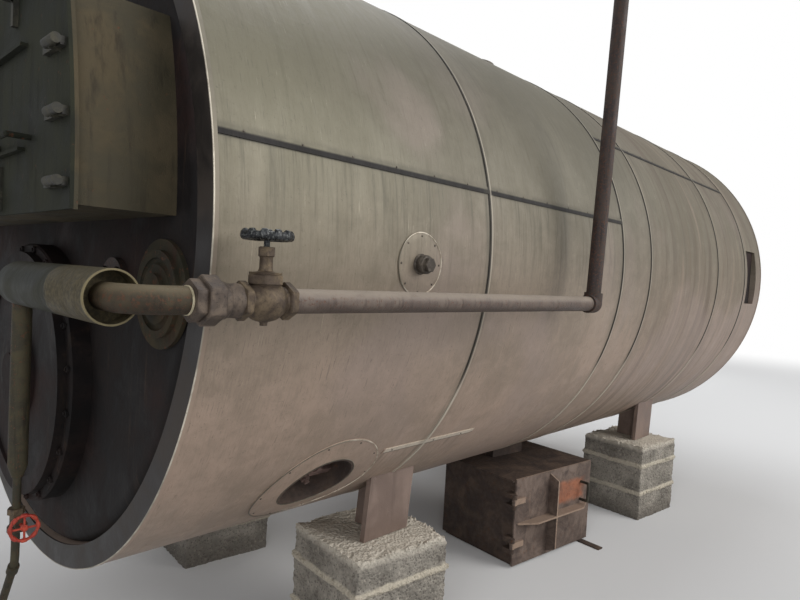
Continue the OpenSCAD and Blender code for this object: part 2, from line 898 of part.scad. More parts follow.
// Round cover with its stepped rings and middle bolt
module handhole_cover()
    rotate_extrude() {
        square([handhole_d / 2, handhole_step]);
        difference() {
            square([handhole_d * 0.4, 2 * handhole_step]);
            translate([handhole_d * 0.3, 2 * handhole_step])
                circle(r = handhole_step * 0.75);
        }
        square([handhole_d * 0.19, 3 * handhole_step]);
        square([handhole_d * 0.07, 4.5 * handhole_step]);
    }

module handhole_covers()
    color([0.17, 0.16, 0.15])
        for (side = [-1, 1])
            put(0, side * handhole_y, axis_h - handhole_drop)
                rotate([0, -90, 0])
                    handhole_cover();

/* Manhole */

// Layer of one sheet's thickness that lies on the cladding
module sheet_layer()
    difference() {
        core(rim_lip, x_5, jacket_r + lap_t);
        core(rim_lip - cut, x_5 + 2 * cut, jacket_r);
    }

module manhole_ring()
    color([0.62, 0.56, 0.47])
        intersection() {
            radial(manhole_x, manhole_low)
                difference() {
                    cylinder(h = jacket_r + lap_w, d = manhole_ring_d);
                    translate([0, 0, -cut])
                        cylinder(h = 2 * jacket_r, d = manhole_d + 2 * (manhole_neck_t + seat));
                }
            sheet_layer();
        }

module manhole_neck()
    color([0.22, 0.17, 0.14])
        intersection() {
            radial(manhole_x, manhole_low)
                translate([0, 0, shell_r / 2])
                    tube(jacket_r, manhole_d + 2 * manhole_neck_t, manhole_neck_t);
            difference() {
                core(0, x_2, jacket_r + lap_t);
                core(-cut, x_2 + 2 * cut, shell_r);
            }
        }

// Lid pressed up against the inside of the shell
module manhole_lid()
    color([0.2, 0.15, 0.13])
        intersection() {
            radial(manhole_x, manhole_low)
                translate([0, 0, shell_r - shell_t - manhole_lid_t])
                    cylinder(h = manhole_lid_t, d = manhole_hole_d + 2 * manhole_seat);
            core(0, x_2, shell_r - shell_t);
        }

module manhole_bridge()
    color([0.3, 0.22, 0.17])
        difference() {
            radial(manhole_x, manhole_low)
                for (side = [-1, 1])
                    translate([0, side * bridge_gap / 2, 0])
                        bridge_bar();
            core(0, x_2, shell_r - shell_t);
        }

// Height at which a bar rests on the round shell
bridge_rest = sqrt(pow(shell_r, 2) - pow((bridge_gap - bridge_w) / 2, 2));
// Length of a bar that fits into the round neck
bridge_l = 2 * sqrt(pow(manhole_d / 2, 2) - pow((bridge_gap + bridge_w) / 2, 2)) - 2 * pass_gap;

module bridge_bar() {
    translate([-bridge_l / 2, -bridge_w / 2, bridge_rest])
        cube([bridge_l, bridge_w, bridge_t]);
    translate([0, 0, shell_r - shell_t - manhole_lid_t])
        cylinder(h = bridge_rest - shell_r + shell_t + manhole_lid_t + 2.4 * bridge_t, d = bridge_bolt_d);
    translate([0, 0, bridge_rest + bridge_t])
        hex(bridge_bolt_d * 0.8, bridge_bolt_d * 1.6);
}

/* Inspection cover */

// Round sheet on the cladding, with a stub through it that a hexagon plug closes
module inspection_cover()
    color([0.6, 0.54, 0.46]) {
        intersection() {
            radial(inspect_x, inspect_low)
                cylinder(h = jacket_r + lap_w, d = inspect_d);
            sheet_layer();
        }
        difference() {
            radial(inspect_x, inspect_low) {
                cylinder(h = jacket_r + inspect_proud, d = inspect_stub_d);
                translate([0, 0, jacket_r + inspect_proud])
                    hex(inspect_stub_d * 0.25, inspect_stub_d * 0.7);
            }
            core(0, x_2, shell_r);
        }
    }

/* Legs and piers */

// Leg plate with its web behind, cut off at the top by the round shell
module leg(x, side)
    difference() {
        leg_plates(x, side, axis_h - pier_h, 0);
        core(x - leg_w, 3 * leg_w, shell_r);
    }

module leg_pair(x)
    for (side = [-1, 1])
        leg(x, side);

module front_legs()
    color([0.45, 0.38, 0.34])
        leg_pair(leg_front_x);

module rear_legs()
    color([0.42, 0.36, 0.32])
        leg_pair(leg_rear_x);

// Courses of a pier, each a block, with joints sunk between them
module pier() {
    block_h = (pier_h - course_h) / pier_courses;
    for (i = [0 : pier_courses - 1])
        translate([-pier_l / 2, -pier_w / 2, i * block_h])
            cube([pier_l, pier_w, block_h - course_groove]);
    translate([-pier_l / 2 + course_groove, -pier_w / 2 + course_groove, 0])
        cube([pier_l - 2 * course_groove, pier_w - 2 * course_groove, pier_h - course_h]);
    translate([-pier_l / 2, -pier_w / 2, pier_h - course_h])
        cube([pier_l, pier_w, course_h]);
}

module pier_pair(x)
    for (side = [-1, 1])
        put(x, side * (leg_y + pier_toe - pier_w / 2), 0)
            rotate([0, 0, -pier_turn])
                pier();

module front_piers()
    color([0.62, 0.6, 0.56])
        pier_pair(leg_front_x);

module rear_piers()
    color([0.5, 0.48, 0.46])
        pier_pair(leg_rear_x);

/* Ash box */

// Frame of the ash box: origin on the ground under its front, Y runs inwards
module at_ash()
    put(ash_x, -ash_y, 0)
        rotate([0, 0, -ash_turn])
            children();

module ash_box()
    color([0.27, 0.24, 0.21]) {
        at_ash()
            difference() {
                translate([-ash_w / 2, 0, ash_foot])
                    cube([ash_w, ash_depth, ash_top - ash_foot]);
                translate([-ash_w / 2 + ash_t, ash_t, ash_foot + ash_t])
                    cube([ash_w - 2 * ash_t, ash_depth - 2 * ash_t, ash_top - ash_foot - 2 * ash_t]);
                translate([-ash_w / 2 + ash_frame_w, -cut, ash_foot + ash_frame_w])
                    cube([ash_w - 2 * ash_frame_w, ash_t + 2 * cut, ash_top - ash_foot - 2 * ash_frame_w]);
                neck_place()
                    translate([ash_t, ash_t, -2 * ash_t])
                        cube([neck_w - 2 * ash_t, neck_l - 2 * ash_t, 3 * ash_t]);
            }
        ash_lid();
        ash_neck();
        ash_feet();
        ash_hinges();
    }

// Top plate of the box, which stands out past its sides
module ash_lid()
    at_ash()
        difference() {
            translate([-ash_w / 2 - ash_lid_past, 0, ash_top - ash_t])
                cube([ash_w + 2 * ash_lid_past, ash_depth, ash_t]);
            neck_place()
                translate([ash_t, ash_t, -2 * ash_t])
                    cube([neck_w - 2 * ash_t, neck_l - 2 * ash_t, 3 * ash_t]);
        }

// Runners under the box, from its floor down to the ground, and the flat bar that one stands on
module ash_feet()
    at_ash() {
        for (side = [-1, 1])
            translate([side * (ash_w / 2 - ash_frame_w) - ash_frame_w / 2, ash_t, 0])
                cube([ash_frame_w, ash_depth - 2 * ash_t, ash_foot]);
        translate([ash_w / 2 - ash_frame_w - ash_bar_w / 2, -ash_bar_l, 0])
            cube([ash_bar_w, ash_bar_l + ash_depth / 2, ash_bar_t]);
    }

module neck_place()
    translate([-neck_w / 2, ash_depth - neck_l - ash_frame_w, ash_top])
        children();

// Square neck from the top of the box up to the belly of the boiler
module ash_neck()
    difference() {
        at_ash()
            neck_place()
                difference() {
                    cube([neck_w, neck_l, axis_h - jacket_r]);
                    translate([ash_t, ash_t, -cut])
                        cube([neck_w - 2 * ash_t, neck_l - 2 * ash_t, axis_h]);
                }
        core(x_1, boiler_l, jacket_r);
        core(x_3 - lap_w / 2, lap_w, jacket_r + lap_t);
    }

door_bottom = ash_foot - ash_door_lap;
door_top = ash_top + ash_door_lap;
hinge_r = hinge_pin_d;
hinge_x = -ash_door_w / 2 - hinge_r - 4;
hinge_y = -ash_door_t - hinge_r / 2;
hinge_zs = [door_bottom + hinge_low, door_top - hinge_high];
lug_l = knuckle_l * 0.75;
lug_gap = knuckle_l * 0.05;

// Two hinge brackets on the box, each with two lugs and its pin
module ash_hinges()
    at_ash()
        for (z = hinge_zs) {
            translate([hinge_x, hinge_y, z - lug_gap - lug_l])
                cylinder(h = knuckle_l + 2 * (lug_gap + lug_l), d = hinge_pin_d);
            translate([0, 0, z - lug_gap - lug_l])
                hinge_lug();
            translate([0, 0, z + knuckle_l + lug_gap])
                hinge_lug();
        }

module hinge_lug() {
    translate([hinge_x, hinge_y, 0])
        cylinder(h = lug_l, r = hinge_r);
    translate([hinge_x - hinge_r, hinge_y, 0])
        cube([hinge_r * 1.3, -hinge_y + ash_t, lug_l]);
    translate([hinge_x - hinge_r, 0, 0])
        cube([-ash_w / 2 - hinge_x + hinge_r, 4 * ash_t, lug_l]);
}

// Door plate with crossed ribs and two knuckles that turn on the hinge pins
module ash_door()
    color([0.42, 0.32, 0.25])
        at_ash()
            difference() {
                union() {
                    translate([-ash_door_w / 2, -ash_door_t - seat, door_bottom])
                        cube([ash_door_w, ash_door_t, ash_door_h]);
                    ash_door_ribs();
                    for (z = hinge_zs)
                        translate([0, 0, z])
                            door_knuckle();
                }
                for (z = hinge_zs)
                    translate([hinge_x, hinge_y, z - cut])
                        cylinder(h = knuckle_l + 2 * cut, d = hinge_pin_d + 2 * hinge_play);
            }

module door_knuckle() {
    translate([hinge_x, hinge_y, 0])
        cylinder(h = knuckle_l, r = hinge_r);
    translate([hinge_x, -ash_door_t - hinge_r, 0])
        cube([hinge_r + strap_l, hinge_r, knuckle_l]);
}

// Ribs that taper at both ends, one upright and one across
module ash_door_ribs() {
    face = -ash_door_t;
    upright = ash_door_h - 2 * ash_rib_end;
    translate([ash_rib_x - ash_rib_t / 2, face, door_bottom + ash_rib_end])
        rotate([90, 0, 90])
            linear_extrude(height = ash_rib_t)
                polygon([[0, 0], [0, upright], [-ash_rib_h, upright - ash_rib_h / 2],
                         [-ash_rib_h, ash_rib_h / 2]]);
    across = ash_door_w - 2 * ash_rib_end;
    translate([-across / 2, face, door_top - ash_rib_down])
        linear_extrude(height = ash_rib_t)
            polygon([[0, 0], [across, 0], [across - 2 * ash_rib_h, -ash_rib_h], [2 * ash_rib_h, -ash_rib_h]]);
}

module ash_door_handle()
    color([0.3, 0.24, 0.19])
        at_ash()
            translate([ash_door_w / 2 - ash_handle_in, -ash_door_t - seat, door_top - ash_handle_down])
                rotate([90, 0, 0])
                    rotate([0, 0, 90])
                        bow_handle(ash_handle_l, handle_proud, handle_rod_d);

/* Side line */

// Children's Z axis turned to run towards the far side, at the height of the line
module across(x, y, z = line_h)
    put(x, y, z)
        rotate([-90, 0, 0])
            children();

// The run of the cross pipe at a given diameter: straight, bend, cross stretch and branches
module cross_run(d, over) {
    along(-bend_x, -line_y, line_h)
        cylinder(h = bend_x - union_x + over, d = d);
    put(-bend_x, -bend_y, line_h)
        rotate([0, 0, 180])
            rotate_extrude(angle = 90)
                translate([bend_r, 0])
                    circle(d = d);
    across(-cross_x, -bend_y)
        cylinder(h = bend_y - drop_y, d = d);
    put(-cross_x, -drop_y, line_h)
        sphere(d = d);
    along(-cross_x, -drop_y, line_h)
        cylinder(h = cross_x - nozzle_l + over, d = d);
    put(-cross_x, -drop_y, line_h - stub_l - over)
        cylinder(h = stub_l + over, d = min(d, drop_d - pipe_d + d));
}

stub_l = sleeve_d / 2 + branch_past;

module cross_pipe()
    color([0.4, 0.36, 0.3])
        difference() {
            cross_run(pipe_d, 0);
            cross_run(pipe_d - 2 * pipe_t, cut);
        }

// Flange on the tube plate with its short neck
module feed_nozzle()
    color([0.22, 0.2, 0.18])
        difference() {
            union() {
                along(-nozzle_l, -drop_y, line_h)
                    cylinder(h = nozzle_l, d = pipe_d);
                along(-flange_t, -drop_y, line_h)
                    cylinder(h = flange_t, d = flange_d);
            }
            along(-nozzle_l - cut, -drop_y, line_h)
                cylinder(h = nozzle_l + 2 * cut, d = pipe_d - 2 * pipe_t);
        }

// Insulation with its sheet round the cross pipe, open towards the bend
module pipe_sleeve()
    color([0.34, 0.33, 0.27])
        difference() {
            across(-cross_x, -bend_y)
                rotate_extrude()
                    sleeve_profile();
            along(-cross_x, -drop_y, line_h)
                cylinder(h = sleeve_d, d = pipe_d + 2 * seat);
            put(-cross_x, -drop_y, line_h - sleeve_d)
                cylinder(h = sleeve_d, d = drop_d + 2 * seat);
        }

sleeve_l = bend_y - drop_y + sleeve_past;

module sleeve_profile()
    difference() {
        union() {
            square([sleeve_d / 2, sleeve_l - sleeve_round]);
            square([sleeve_d / 2 - sleeve_round, sleeve_l]);
            translate([sleeve_d / 2 - sleeve_round, sleeve_l - sleeve_round])
                circle(r = sleeve_round);
        }
        translate([0, -cut])
            square([sleeve_d / 2 - sleeve_t / 3, sleeve_mouth + cut]);
        translate([0, -cut])
            square([pipe_d / 2 + seat, bend_y - drop_y + pipe_d / 2 + seat + cut]);
    }

module pipe_union()
    color([0.4, 0.34, 0.28])
        difference() {
            union() {
                along(-union_x, -line_y, line_h)
                    hex(union_small_l, union_small_af);
                along(-union_x + union_small_l, -line_y, line_h)
                    hex(union_nut_l, union_af);
                along(-union_x + union_small_l + union_nut_l, -line_y, line_h)
                    cylinder(h = union_l - union_small_l - union_nut_l, d = union_small_af);
                along(-union_x + union_l, -line_y, line_h)
                    cylinder(h = nipple_l, d = tail_d);
            }
            along(-union_x - cut, -line_y, line_h)
                cylinder(h = union_l + nipple_l + 2 * cut, d = pipe_d - 2 * pipe_t);
        }

nipple_l = valve_x - valve_l / 2 + union_x - union_l;
bonnet_z = line_h + bonnet_up;
neck_z = bonnet_z + bonnet_hex_h + bonnet_collar_h;
gland_z = neck_z + bonnet_neck_h;

// Height at which the stem's bore ends in the bonnet
stem_foot = bonnet_z + bonnet_hex_h;

// Valve casting: hexagon ends, round belly, seat for the bonnet and a drain plug below
module valve_body()
    color([0.42, 0.36, 0.26]) {
        along(valve_x - valve_l / 2, -line_y, line_h)
            hex(valve_end_l, valve_af);
        along(valve_x + valve_l / 2 - valve_end_l, -line_y, line_h)
            hex(valve_end_l, valve_af);
        along(valve_x - valve_l / 2, -line_y, line_h)
            cylinder(h = valve_l, d = valve_core_d);
        difference() {
            put(valve_x, -line_y, line_h)
                sphere(d = valve_belly_d);
            put(valve_x, -line_y, bonnet_z)
                cylinder(h = valve_belly_d, d = valve_belly_d);
        }
        put(valve_x, -line_y, line_h)
            cylinder(h = bonnet_up, d = bonnet_af);
        put(valve_x, -line_y, line_h - valve_belly_d / 2 - valve_plug_l)
            cylinder(h = 2 * valve_plug_l, d = valve_plug_d);
    }

module valve_bonnet()
    color([0.38, 0.32, 0.24])
        difference() {
            union() {
                put(valve_x, -line_y, bonnet_z)
                    hex(bonnet_hex_h, bonnet_af);
                put(valve_x, -line_y, bonnet_z + bonnet_hex_h)
                    cylinder(h = bonnet_collar_h, d = bonnet_af);
                put(valve_x, -line_y, neck_z)
                    cylinder(h = bonnet_neck_h, d = bonnet_neck_d);
                put(valve_x, -line_y, gland_z)
                    hex(gland_h, gland_af);
            }
            put(valve_x, -line_y, stem_foot)
                cylinder(h = gland_z + gland_h - stem_foot + cut, d = stem_d + 2 * hinge_play);
        }

// Wheel with a round rim, lobes for the grip, spokes and a hub, lying flat at Z = 0
module hand_wheel(d, rim, lobes, spokes, hub) {
    rim_r = d / 2 - rim * 0.62;
    rotate_extrude()
        translate([rim_r, 0])
            circle(d = rim);
    for (i = [0 : lobes - 1])
        rotate([0, 0, i * 360 / lobes])
            translate([rim_r, 0, 0])
                sphere(d = rim * 1.24);
    for (i = [0 : spokes - 1])
        rotate([0, 0, i * 360 / spokes])
            rotate([0, 90, 0])
                cylinder(h = rim_r, d = rim * 0.6);
    translate([0, 0, -rim * 0.5])
        cylinder(h = rim, d = hub);
}

module valve_wheel()
    color([0.07, 0.07, 0.08])
        put(valve_x, -line_y, line_h + wheel_h) {
            hand_wheel(wheel_d, wheel_rim, wheel_lobes, 5, wheel_hub_d);
            translate([0, 0, stem_foot + cut - line_h - wheel_h])
                cylinder(h = line_h + wheel_h - stem_foot - cut, d = stem_d);
            hex(wheel_rim * 1.1, stem_d * 1.5);
        }

module side_pipe()
    color([0.38, 0.34, 0.29])
        along(valve_x + valve_l / 2, -line_y, line_h)
            tube(elbow_x - elbow_reach - valve_x - valve_l / 2, pipe_d, pipe_t);

// Children's Z axis turned to run up the leaning riser
module up_riser()
    put(elbow_x, -line_y, line_h)
        rotate([0, riser_lean, 0])
            children();

// Elbow, riser and the flange at its top
module riser_pipe()
    color([0.33, 0.29, 0.25])
        difference() {
            union() {
                along(elbow_x - elbow_reach, -line_y, line_h)
                    cylinder(h = elbow_reach, d = elbow_d);
                up_riser() {
                    sphere(d = elbow_d);
                    cylinder(h = elbow_reach, d = elbow_d);
                    cylinder(h = riser_l, d = pipe_d);
                    translate([0, 0, riser_l - flange_t])
                        cylinder(h = flange_t, d = flange_d);
                }
            }
            along(elbow_x - elbow_reach - cut, -line_y, line_h)
                cylinder(h = elbow_reach + cut, d = pipe_d - 2 * pipe_t);
            up_riser() {
                sphere(d = pipe_d - 2 * pipe_t);
                cylinder(h = riser_l + cut, d = pipe_d - 2 * pipe_t);
                translate([0, 0, riser_l - flange_t])
                    ring_holes(flange_pcd, flange_holes, flange_hole_d, flange_t);
            }
        }

/* Drain */

drop_bottom = line_h - drop_l;
drain_top = drop_bottom - reducer_l - drain_l;
drain_h = drain_top - drain_valve_l / 2;

// Drop pipe with its reducer and thin pipe, and the tail below the drain valve
module drop_pipe()
    color([0.42, 0.4, 0.33]) {
        drain_tail();
        put(-cross_x, -drop_y, drop_bottom)
            tube(drop_l - stub_l, drop_d, pipe_t);
        put(-cross_x, -drop_y, drop_bottom - reducer_l)
            cylinder(h = reducer_l, d1 = drain_d * 1.3, d2 = drop_d);
        put(-cross_x, -drop_y, drain_top)
            cylinder(h = drain_l + cut, d = drain_d);
    }

module drain_valve()
    color([0.4, 0.33, 0.2])
        difference() {
            union() {
                put(-cross_x, -drop_y, drain_h - drain_valve_l / 2)
                    hex(drain_valve_l * 0.25, drain_af);
                put(-cross_x, -drop_y, drain_h + drain_valve_l / 4)
                    hex(drain_valve_l * 0.25, drain_af);
                put(-cross_x, -drop_y, drain_h - drain_valve_l / 2)
                    cylinder(h = drain_valve_l, d = drain_af * 0.82);
                out_drain() {
                    cylinder(h = drain_wheel_out * 0.62, d = drain_af * 0.62);
                    translate([0, 0, drain_wheel_out * 0.4])
                        hex(drain_wheel_out * 0.22, drain_af * 0.75);
                }
            }
            out_drain()
                translate([0, 0, drain_af * 0.5])
                    cylinder(h = drain_wheel_out, d = drain_stem_d + 2 * hinge_play);
        }

// Children's Z axis turned to run out of the drain valve towards the near side
module out_drain()
    put(-cross_x, -drop_y, drain_h)
        rotate([90, 0, 0])
            children();

module drain_wheel()
    color([0.5, 0.12, 0.08])
        out_drain() {
            translate([0, 0, drain_wheel_out])
                hand_wheel(drain_wheel_d, drain_wheel_d * 0.13, 8, 4, drain_stem_d * 2);
            translate([0, 0, drain_af * 0.5 + 3])
                cylinder(h = drain_wheel_out - drain_af * 0.5 - 3, d = drain_stem_d);
        }

// Thin tail: straight down, a bend towards the boiler and a slanting end
module drain_tail()
    put(-cross_x, -drop_y, drain_h - drain_valve_l / 2)
        rotate([0, 0, 90]) {
            translate([0, 0, -tail_l])
                cylinder(h = tail_l, d = drain_d);
            translate([tail_r, 0, -tail_l])
                rotate([-90, 0, 180])
                    rotate_extrude(angle = tail_turn)
                        translate([tail_r, 0])
                            circle(d = drain_d);
            translate([tail_r * (1 - cos(tail_turn)), 0, -tail_l - tail_r * sin(tail_turn)])
                rotate([0, 180 - tail_turn, 0]) {
                    translate([0, 0, -tail_socket_l / 2])
                        cylinder(h = tail_socket_l, d = drain_d + 2 * tail_socket_t);
                    translate([0, 0, cut])
                        cylinder(h = tail_end_l - cut, d = drain_d);
                }
        }

/* Crown and rear */

// Flanged stub that stands on the crown of the shell
module crown_nozzle(x, d, wall, fd, pcd, count, hole_d)
    difference() {
        radial(x, -90) {
            cylinder(h = jacket_r + nozzle_proud, d = d);
            translate([0, 0, jacket_r + nozzle_proud - flange_t])
                flange(fd, d - wall, flange_t, pcd, count, hole_d);
        }
        radial(x, -90)
            cylinder(h = 2 * jacket_r, d = d - 2 * wall);
        core(x - fd, 2 * fd, shell_r);
    }

module crown_nozzles()
    color([0.36, 0.33, 0.3]) {
        crown_nozzle(steam_x, steam_d, shell_t / 2, steam_flange_d, steam_pcd, 8, steam_hole_d);
        crown_nozzle(safety_x, safety_d, shell_t / 3, safety_flange_d, safety_pcd, 4, flange_hole_d);
    }

// Collar on the shell with a flat cover, sunk into the cladding's side opening
module side_hatch()
    color([0.16, 0.15, 0.16])
        difference() {
            put(hatch_x, 0, axis_h + hatch_h * 0.1)
                hatch_box(pass_gap, jacket_r - hatch_sunk);
            put(hatch_x, 0, axis_h + hatch_h * 0.1)
                hatch_box(pass_gap + smoke_t, jacket_r - hatch_sunk - smoke_t);
            core(hatch_x - hatch_l, 2 * hatch_l, shell_r);
        }

// Block that fits the side opening with a given clearance all round
module hatch_box(clear, reach)
    translate([clear - hatch_l / 2, -reach, clear - hatch_h / 2])
        cube([hatch_l - 2 * clear, reach / 2, hatch_h - 2 * clear]);

module flue_outlet()
    color([0.3, 0.27, 0.25]) {
        along(boiler_l, 0, axis_h + flue_up)
            tube(flue_l, flue_d, smoke_t);
        along(boiler_l + flue_l, 0, axis_h + flue_up)
            flange(flue_d + 2 * flue_flange_w, flue_d - 2 * smoke_t, flange_t,
                flue_d + 2 * flue_bolt_out, 12, flange_hole_d);
    }

// Cleaning cover with a raised rim and a middle boss
module rear_cover()
    along(boiler_l, 0, axis_h - rear_cover_drop)
        rotate_extrude() {
            square([rear_cover_d / 2, rear_cover_t]);
            translate([rear_cover_d / 2 - rear_cover_rim, 0])
                square([rear_cover_rim, rear_cover_t + rear_cover_step]);
            square([rear_boss_d / 2, rear_cover_t + rear_cover_step]);
        }

pressure_shell();
front_tube_plate();
rear_end_plate();
jacket_band_1();
jacket_band_2();
jacket_band_3();
jacket_band_4();
jacket_band_5();
jacket_band_6();
front_rim();
rear_rim();
smokebox_casing();
smokebox_door();
smokebox_clamps();
smokebox_handles();
furnace_mouth();
furnace_cover();
handhole_covers();
manhole_ring();
manhole_neck();
manhole_lid();
manhole_bridge();
inspection_cover();
front_legs();
rear_legs();
front_piers();
rear_piers();
ash_box();
ash_door();
ash_door_handle();
feed_nozzle();
pipe_sleeve();
cross_pipe();
pipe_union();
valve_body();
valve_bonnet();
valve_wheel();
side_pipe();
riser_pipe();
drop_pipe();
drain_valve();
drain_wheel();
crown_nozzles();
side_hatch();
flue_outlet();
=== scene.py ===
import math
import bpy
import numpy as np
from mathutils import Matrix, Vector


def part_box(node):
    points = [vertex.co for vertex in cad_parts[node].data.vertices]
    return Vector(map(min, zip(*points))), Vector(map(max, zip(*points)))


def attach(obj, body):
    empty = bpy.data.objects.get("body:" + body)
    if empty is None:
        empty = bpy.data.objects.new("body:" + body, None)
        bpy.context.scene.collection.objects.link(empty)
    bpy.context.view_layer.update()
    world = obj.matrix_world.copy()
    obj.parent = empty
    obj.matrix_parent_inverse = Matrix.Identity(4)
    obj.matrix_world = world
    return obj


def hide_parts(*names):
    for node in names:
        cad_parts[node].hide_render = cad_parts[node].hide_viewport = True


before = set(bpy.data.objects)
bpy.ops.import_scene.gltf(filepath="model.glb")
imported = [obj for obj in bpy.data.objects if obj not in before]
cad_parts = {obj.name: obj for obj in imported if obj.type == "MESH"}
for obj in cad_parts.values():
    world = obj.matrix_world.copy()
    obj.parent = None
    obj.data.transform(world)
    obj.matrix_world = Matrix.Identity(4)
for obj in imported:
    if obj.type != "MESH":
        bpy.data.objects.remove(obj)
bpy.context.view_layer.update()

print("frame loaded:", len(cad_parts), "nodes")

# the boiler's own place in the shared frame, metres, and its ring seams' distances behind the front rim
boiler = {"frontX": -2.333, "axisY": 0.1015, "axisZ": 1.69, "sheetR": 1.175, "lapR": 1.1775,
          "lap": 0.026, "seams": (1.117, 2.252, 2.605, 3.751, 4.388)}


# long seams: start and end behind the front rim, angle from the crown, and the rows of screws along each;
# the lower one is on the near side only
longSeams = {"upper": {"from": 0, "to": 2.252, "angle": 78.2, "screws": ((0.08, 2.2),)},
             "rear": {"from": 2.252, "to": 4.388, "angle": 54.4, "screws": ((2.33, 4.3),)},
             "lower": {"from": 0.88, "to": 1.43, "angle": 129.2, "screws": ((0.92, 1.08), (1.16, 1.38))}}


# block piers under the legs: two full courses and a lower one on top, with mortar squeezed out between them;
# dusty and dark are the heights between which the top's dust and the dark foot fade
pier = {"length": 0.50, "width": 0.48, "top": 0.515, "joints": (0.185, 0.375), "corner": 0.012,
        "step": 0.0065, "across": 74, "turn": -6, "legY": 0.742, "toe": 0.152,
        "frontX": 1.090, "rearX": 3.740, "dusty": (0.466, 0.504), "dark": (0.16, 0.0)}


# covers on the near side: distance behind the front rim, angle from the crown, edge and screws
covers = {"inspection": {"x": 0.728, "angle": 92.3, "r": 0.101, "screws": 8, "screwR": 0.090, "bead": 0.0022},
          "manhole": {"x": 0.634, "angle": 135.5, "r": 0.246, "screws": 10, "screwR": 0.232, "bead": 0.0024},
          "manholeMouth": {"x": 0.634, "angle": 135.5, "r": 0.1478, "screws": 0, "screwR": 0, "bead": 0.0018}}


# the ash door: how far it is turned, its face measured along its own normal, and the patch on it (x and z)
ashDoor = {"turn": 6.5, "face": 0.5917, "patch": (0.365, 0.352), "patchSize": (0.155, 0.075)}


def tone(r, g, b):
    # a colour as read on a screen, 0 to 255, turned to the linear values that shaders take
    c = np.array((r, g, b)) / 255
    return tuple(np.where(c < 0.04045, c / 12.92, ((c + 0.055) / 1.055) ** 2.4)) + (1,)


def fromFront(x, y, z):
    # a point measured from the front rim, the middle and the ground, millimetres
    return np.array((boiler["frontX"] + x / 1000, boiler["axisY"] + y / 1000, z / 1000))


# the view of the photograph: metres, degrees, and millimetres of lens and sensor
photoView = {"place": (-3.0768, -2.3924, 1.6041), "turn": 46.435, "tilt": -2.308, "roll": 3.124,
             "lens": 27.667, "sensor": 36, "clip": (0.02, 200)}


def aimCamera(v):
    turn, tilt, roll = (math.radians(v[k]) for k in ("turn", "tilt", "roll"))
    ahead = Vector((math.sin(turn) * math.cos(tilt), math.cos(turn) * math.cos(tilt), math.sin(tilt)))
    level = Vector((math.cos(turn), -math.sin(turn), 0))
    up = level.cross(ahead)
    right = level * math.cos(roll) + up * math.sin(roll)
    up = up * math.cos(roll) - level * math.sin(roll)
    camera = bpy.data.objects.new("photoCamera", bpy.data.cameras.new("photoCamera"))
    camera.data.lens = v["lens"]
    camera.data.sensor_width = v["sensor"]
    camera.data.clip_start, camera.data.clip_end = v["clip"]
    camera.matrix_world = Matrix.Translation(v["place"]) @ Matrix((right, up, -ahead)).transposed().to_4x4()
    bpy.context.scene.collection.objects.link(camera)
    bpy.context.scene.camera = camera


aimCamera(photoView)
bpy.context.scene.view_settings.view_transform = "Standard"


class Wire:
    # one socket of a shader tree; an expression on wires adds the Math nodes it needs
    def __init__(self, finish, socket):
        self.finish, self.socket = finish, socket

    def sum(self, operation, *values):
        return self.finish.node("Math", {"operation": operation}, dict(enumerate(values)))

    def __add__(self, other):
        return self.sum("ADD", self, other)

    def __sub__(self, other):
        return self.sum("SUBTRACT", self, other)

    def __rsub__(self, other):
        return self.sum("SUBTRACT", other, self)

    def __mul__(self, other):
        return self.sum("MULTIPLY", self, other)

    def __truediv__(self, other):
        return self.sum("DIVIDE", self, other)

    def __pow__(self, other):
        return self.sum("POWER", self, other)

    def __abs__(self):
        return self.sum("ABSOLUTE", self)

    def above(self, other):
        # the larger of the two
        return self.sum("MAXIMUM", self, other)

    def ramp(self, low, high, start=0.0, end=1.0):
        # goes smoothly from start to end while the wire goes from low to high
        sockets = {"Value": self, "From Min": low, "From Max": high, "To Min": start, "To Max": end}
        return self.finish.node("MapRange", {"interpolation_type": "SMOOTHSTEP"}, sockets)


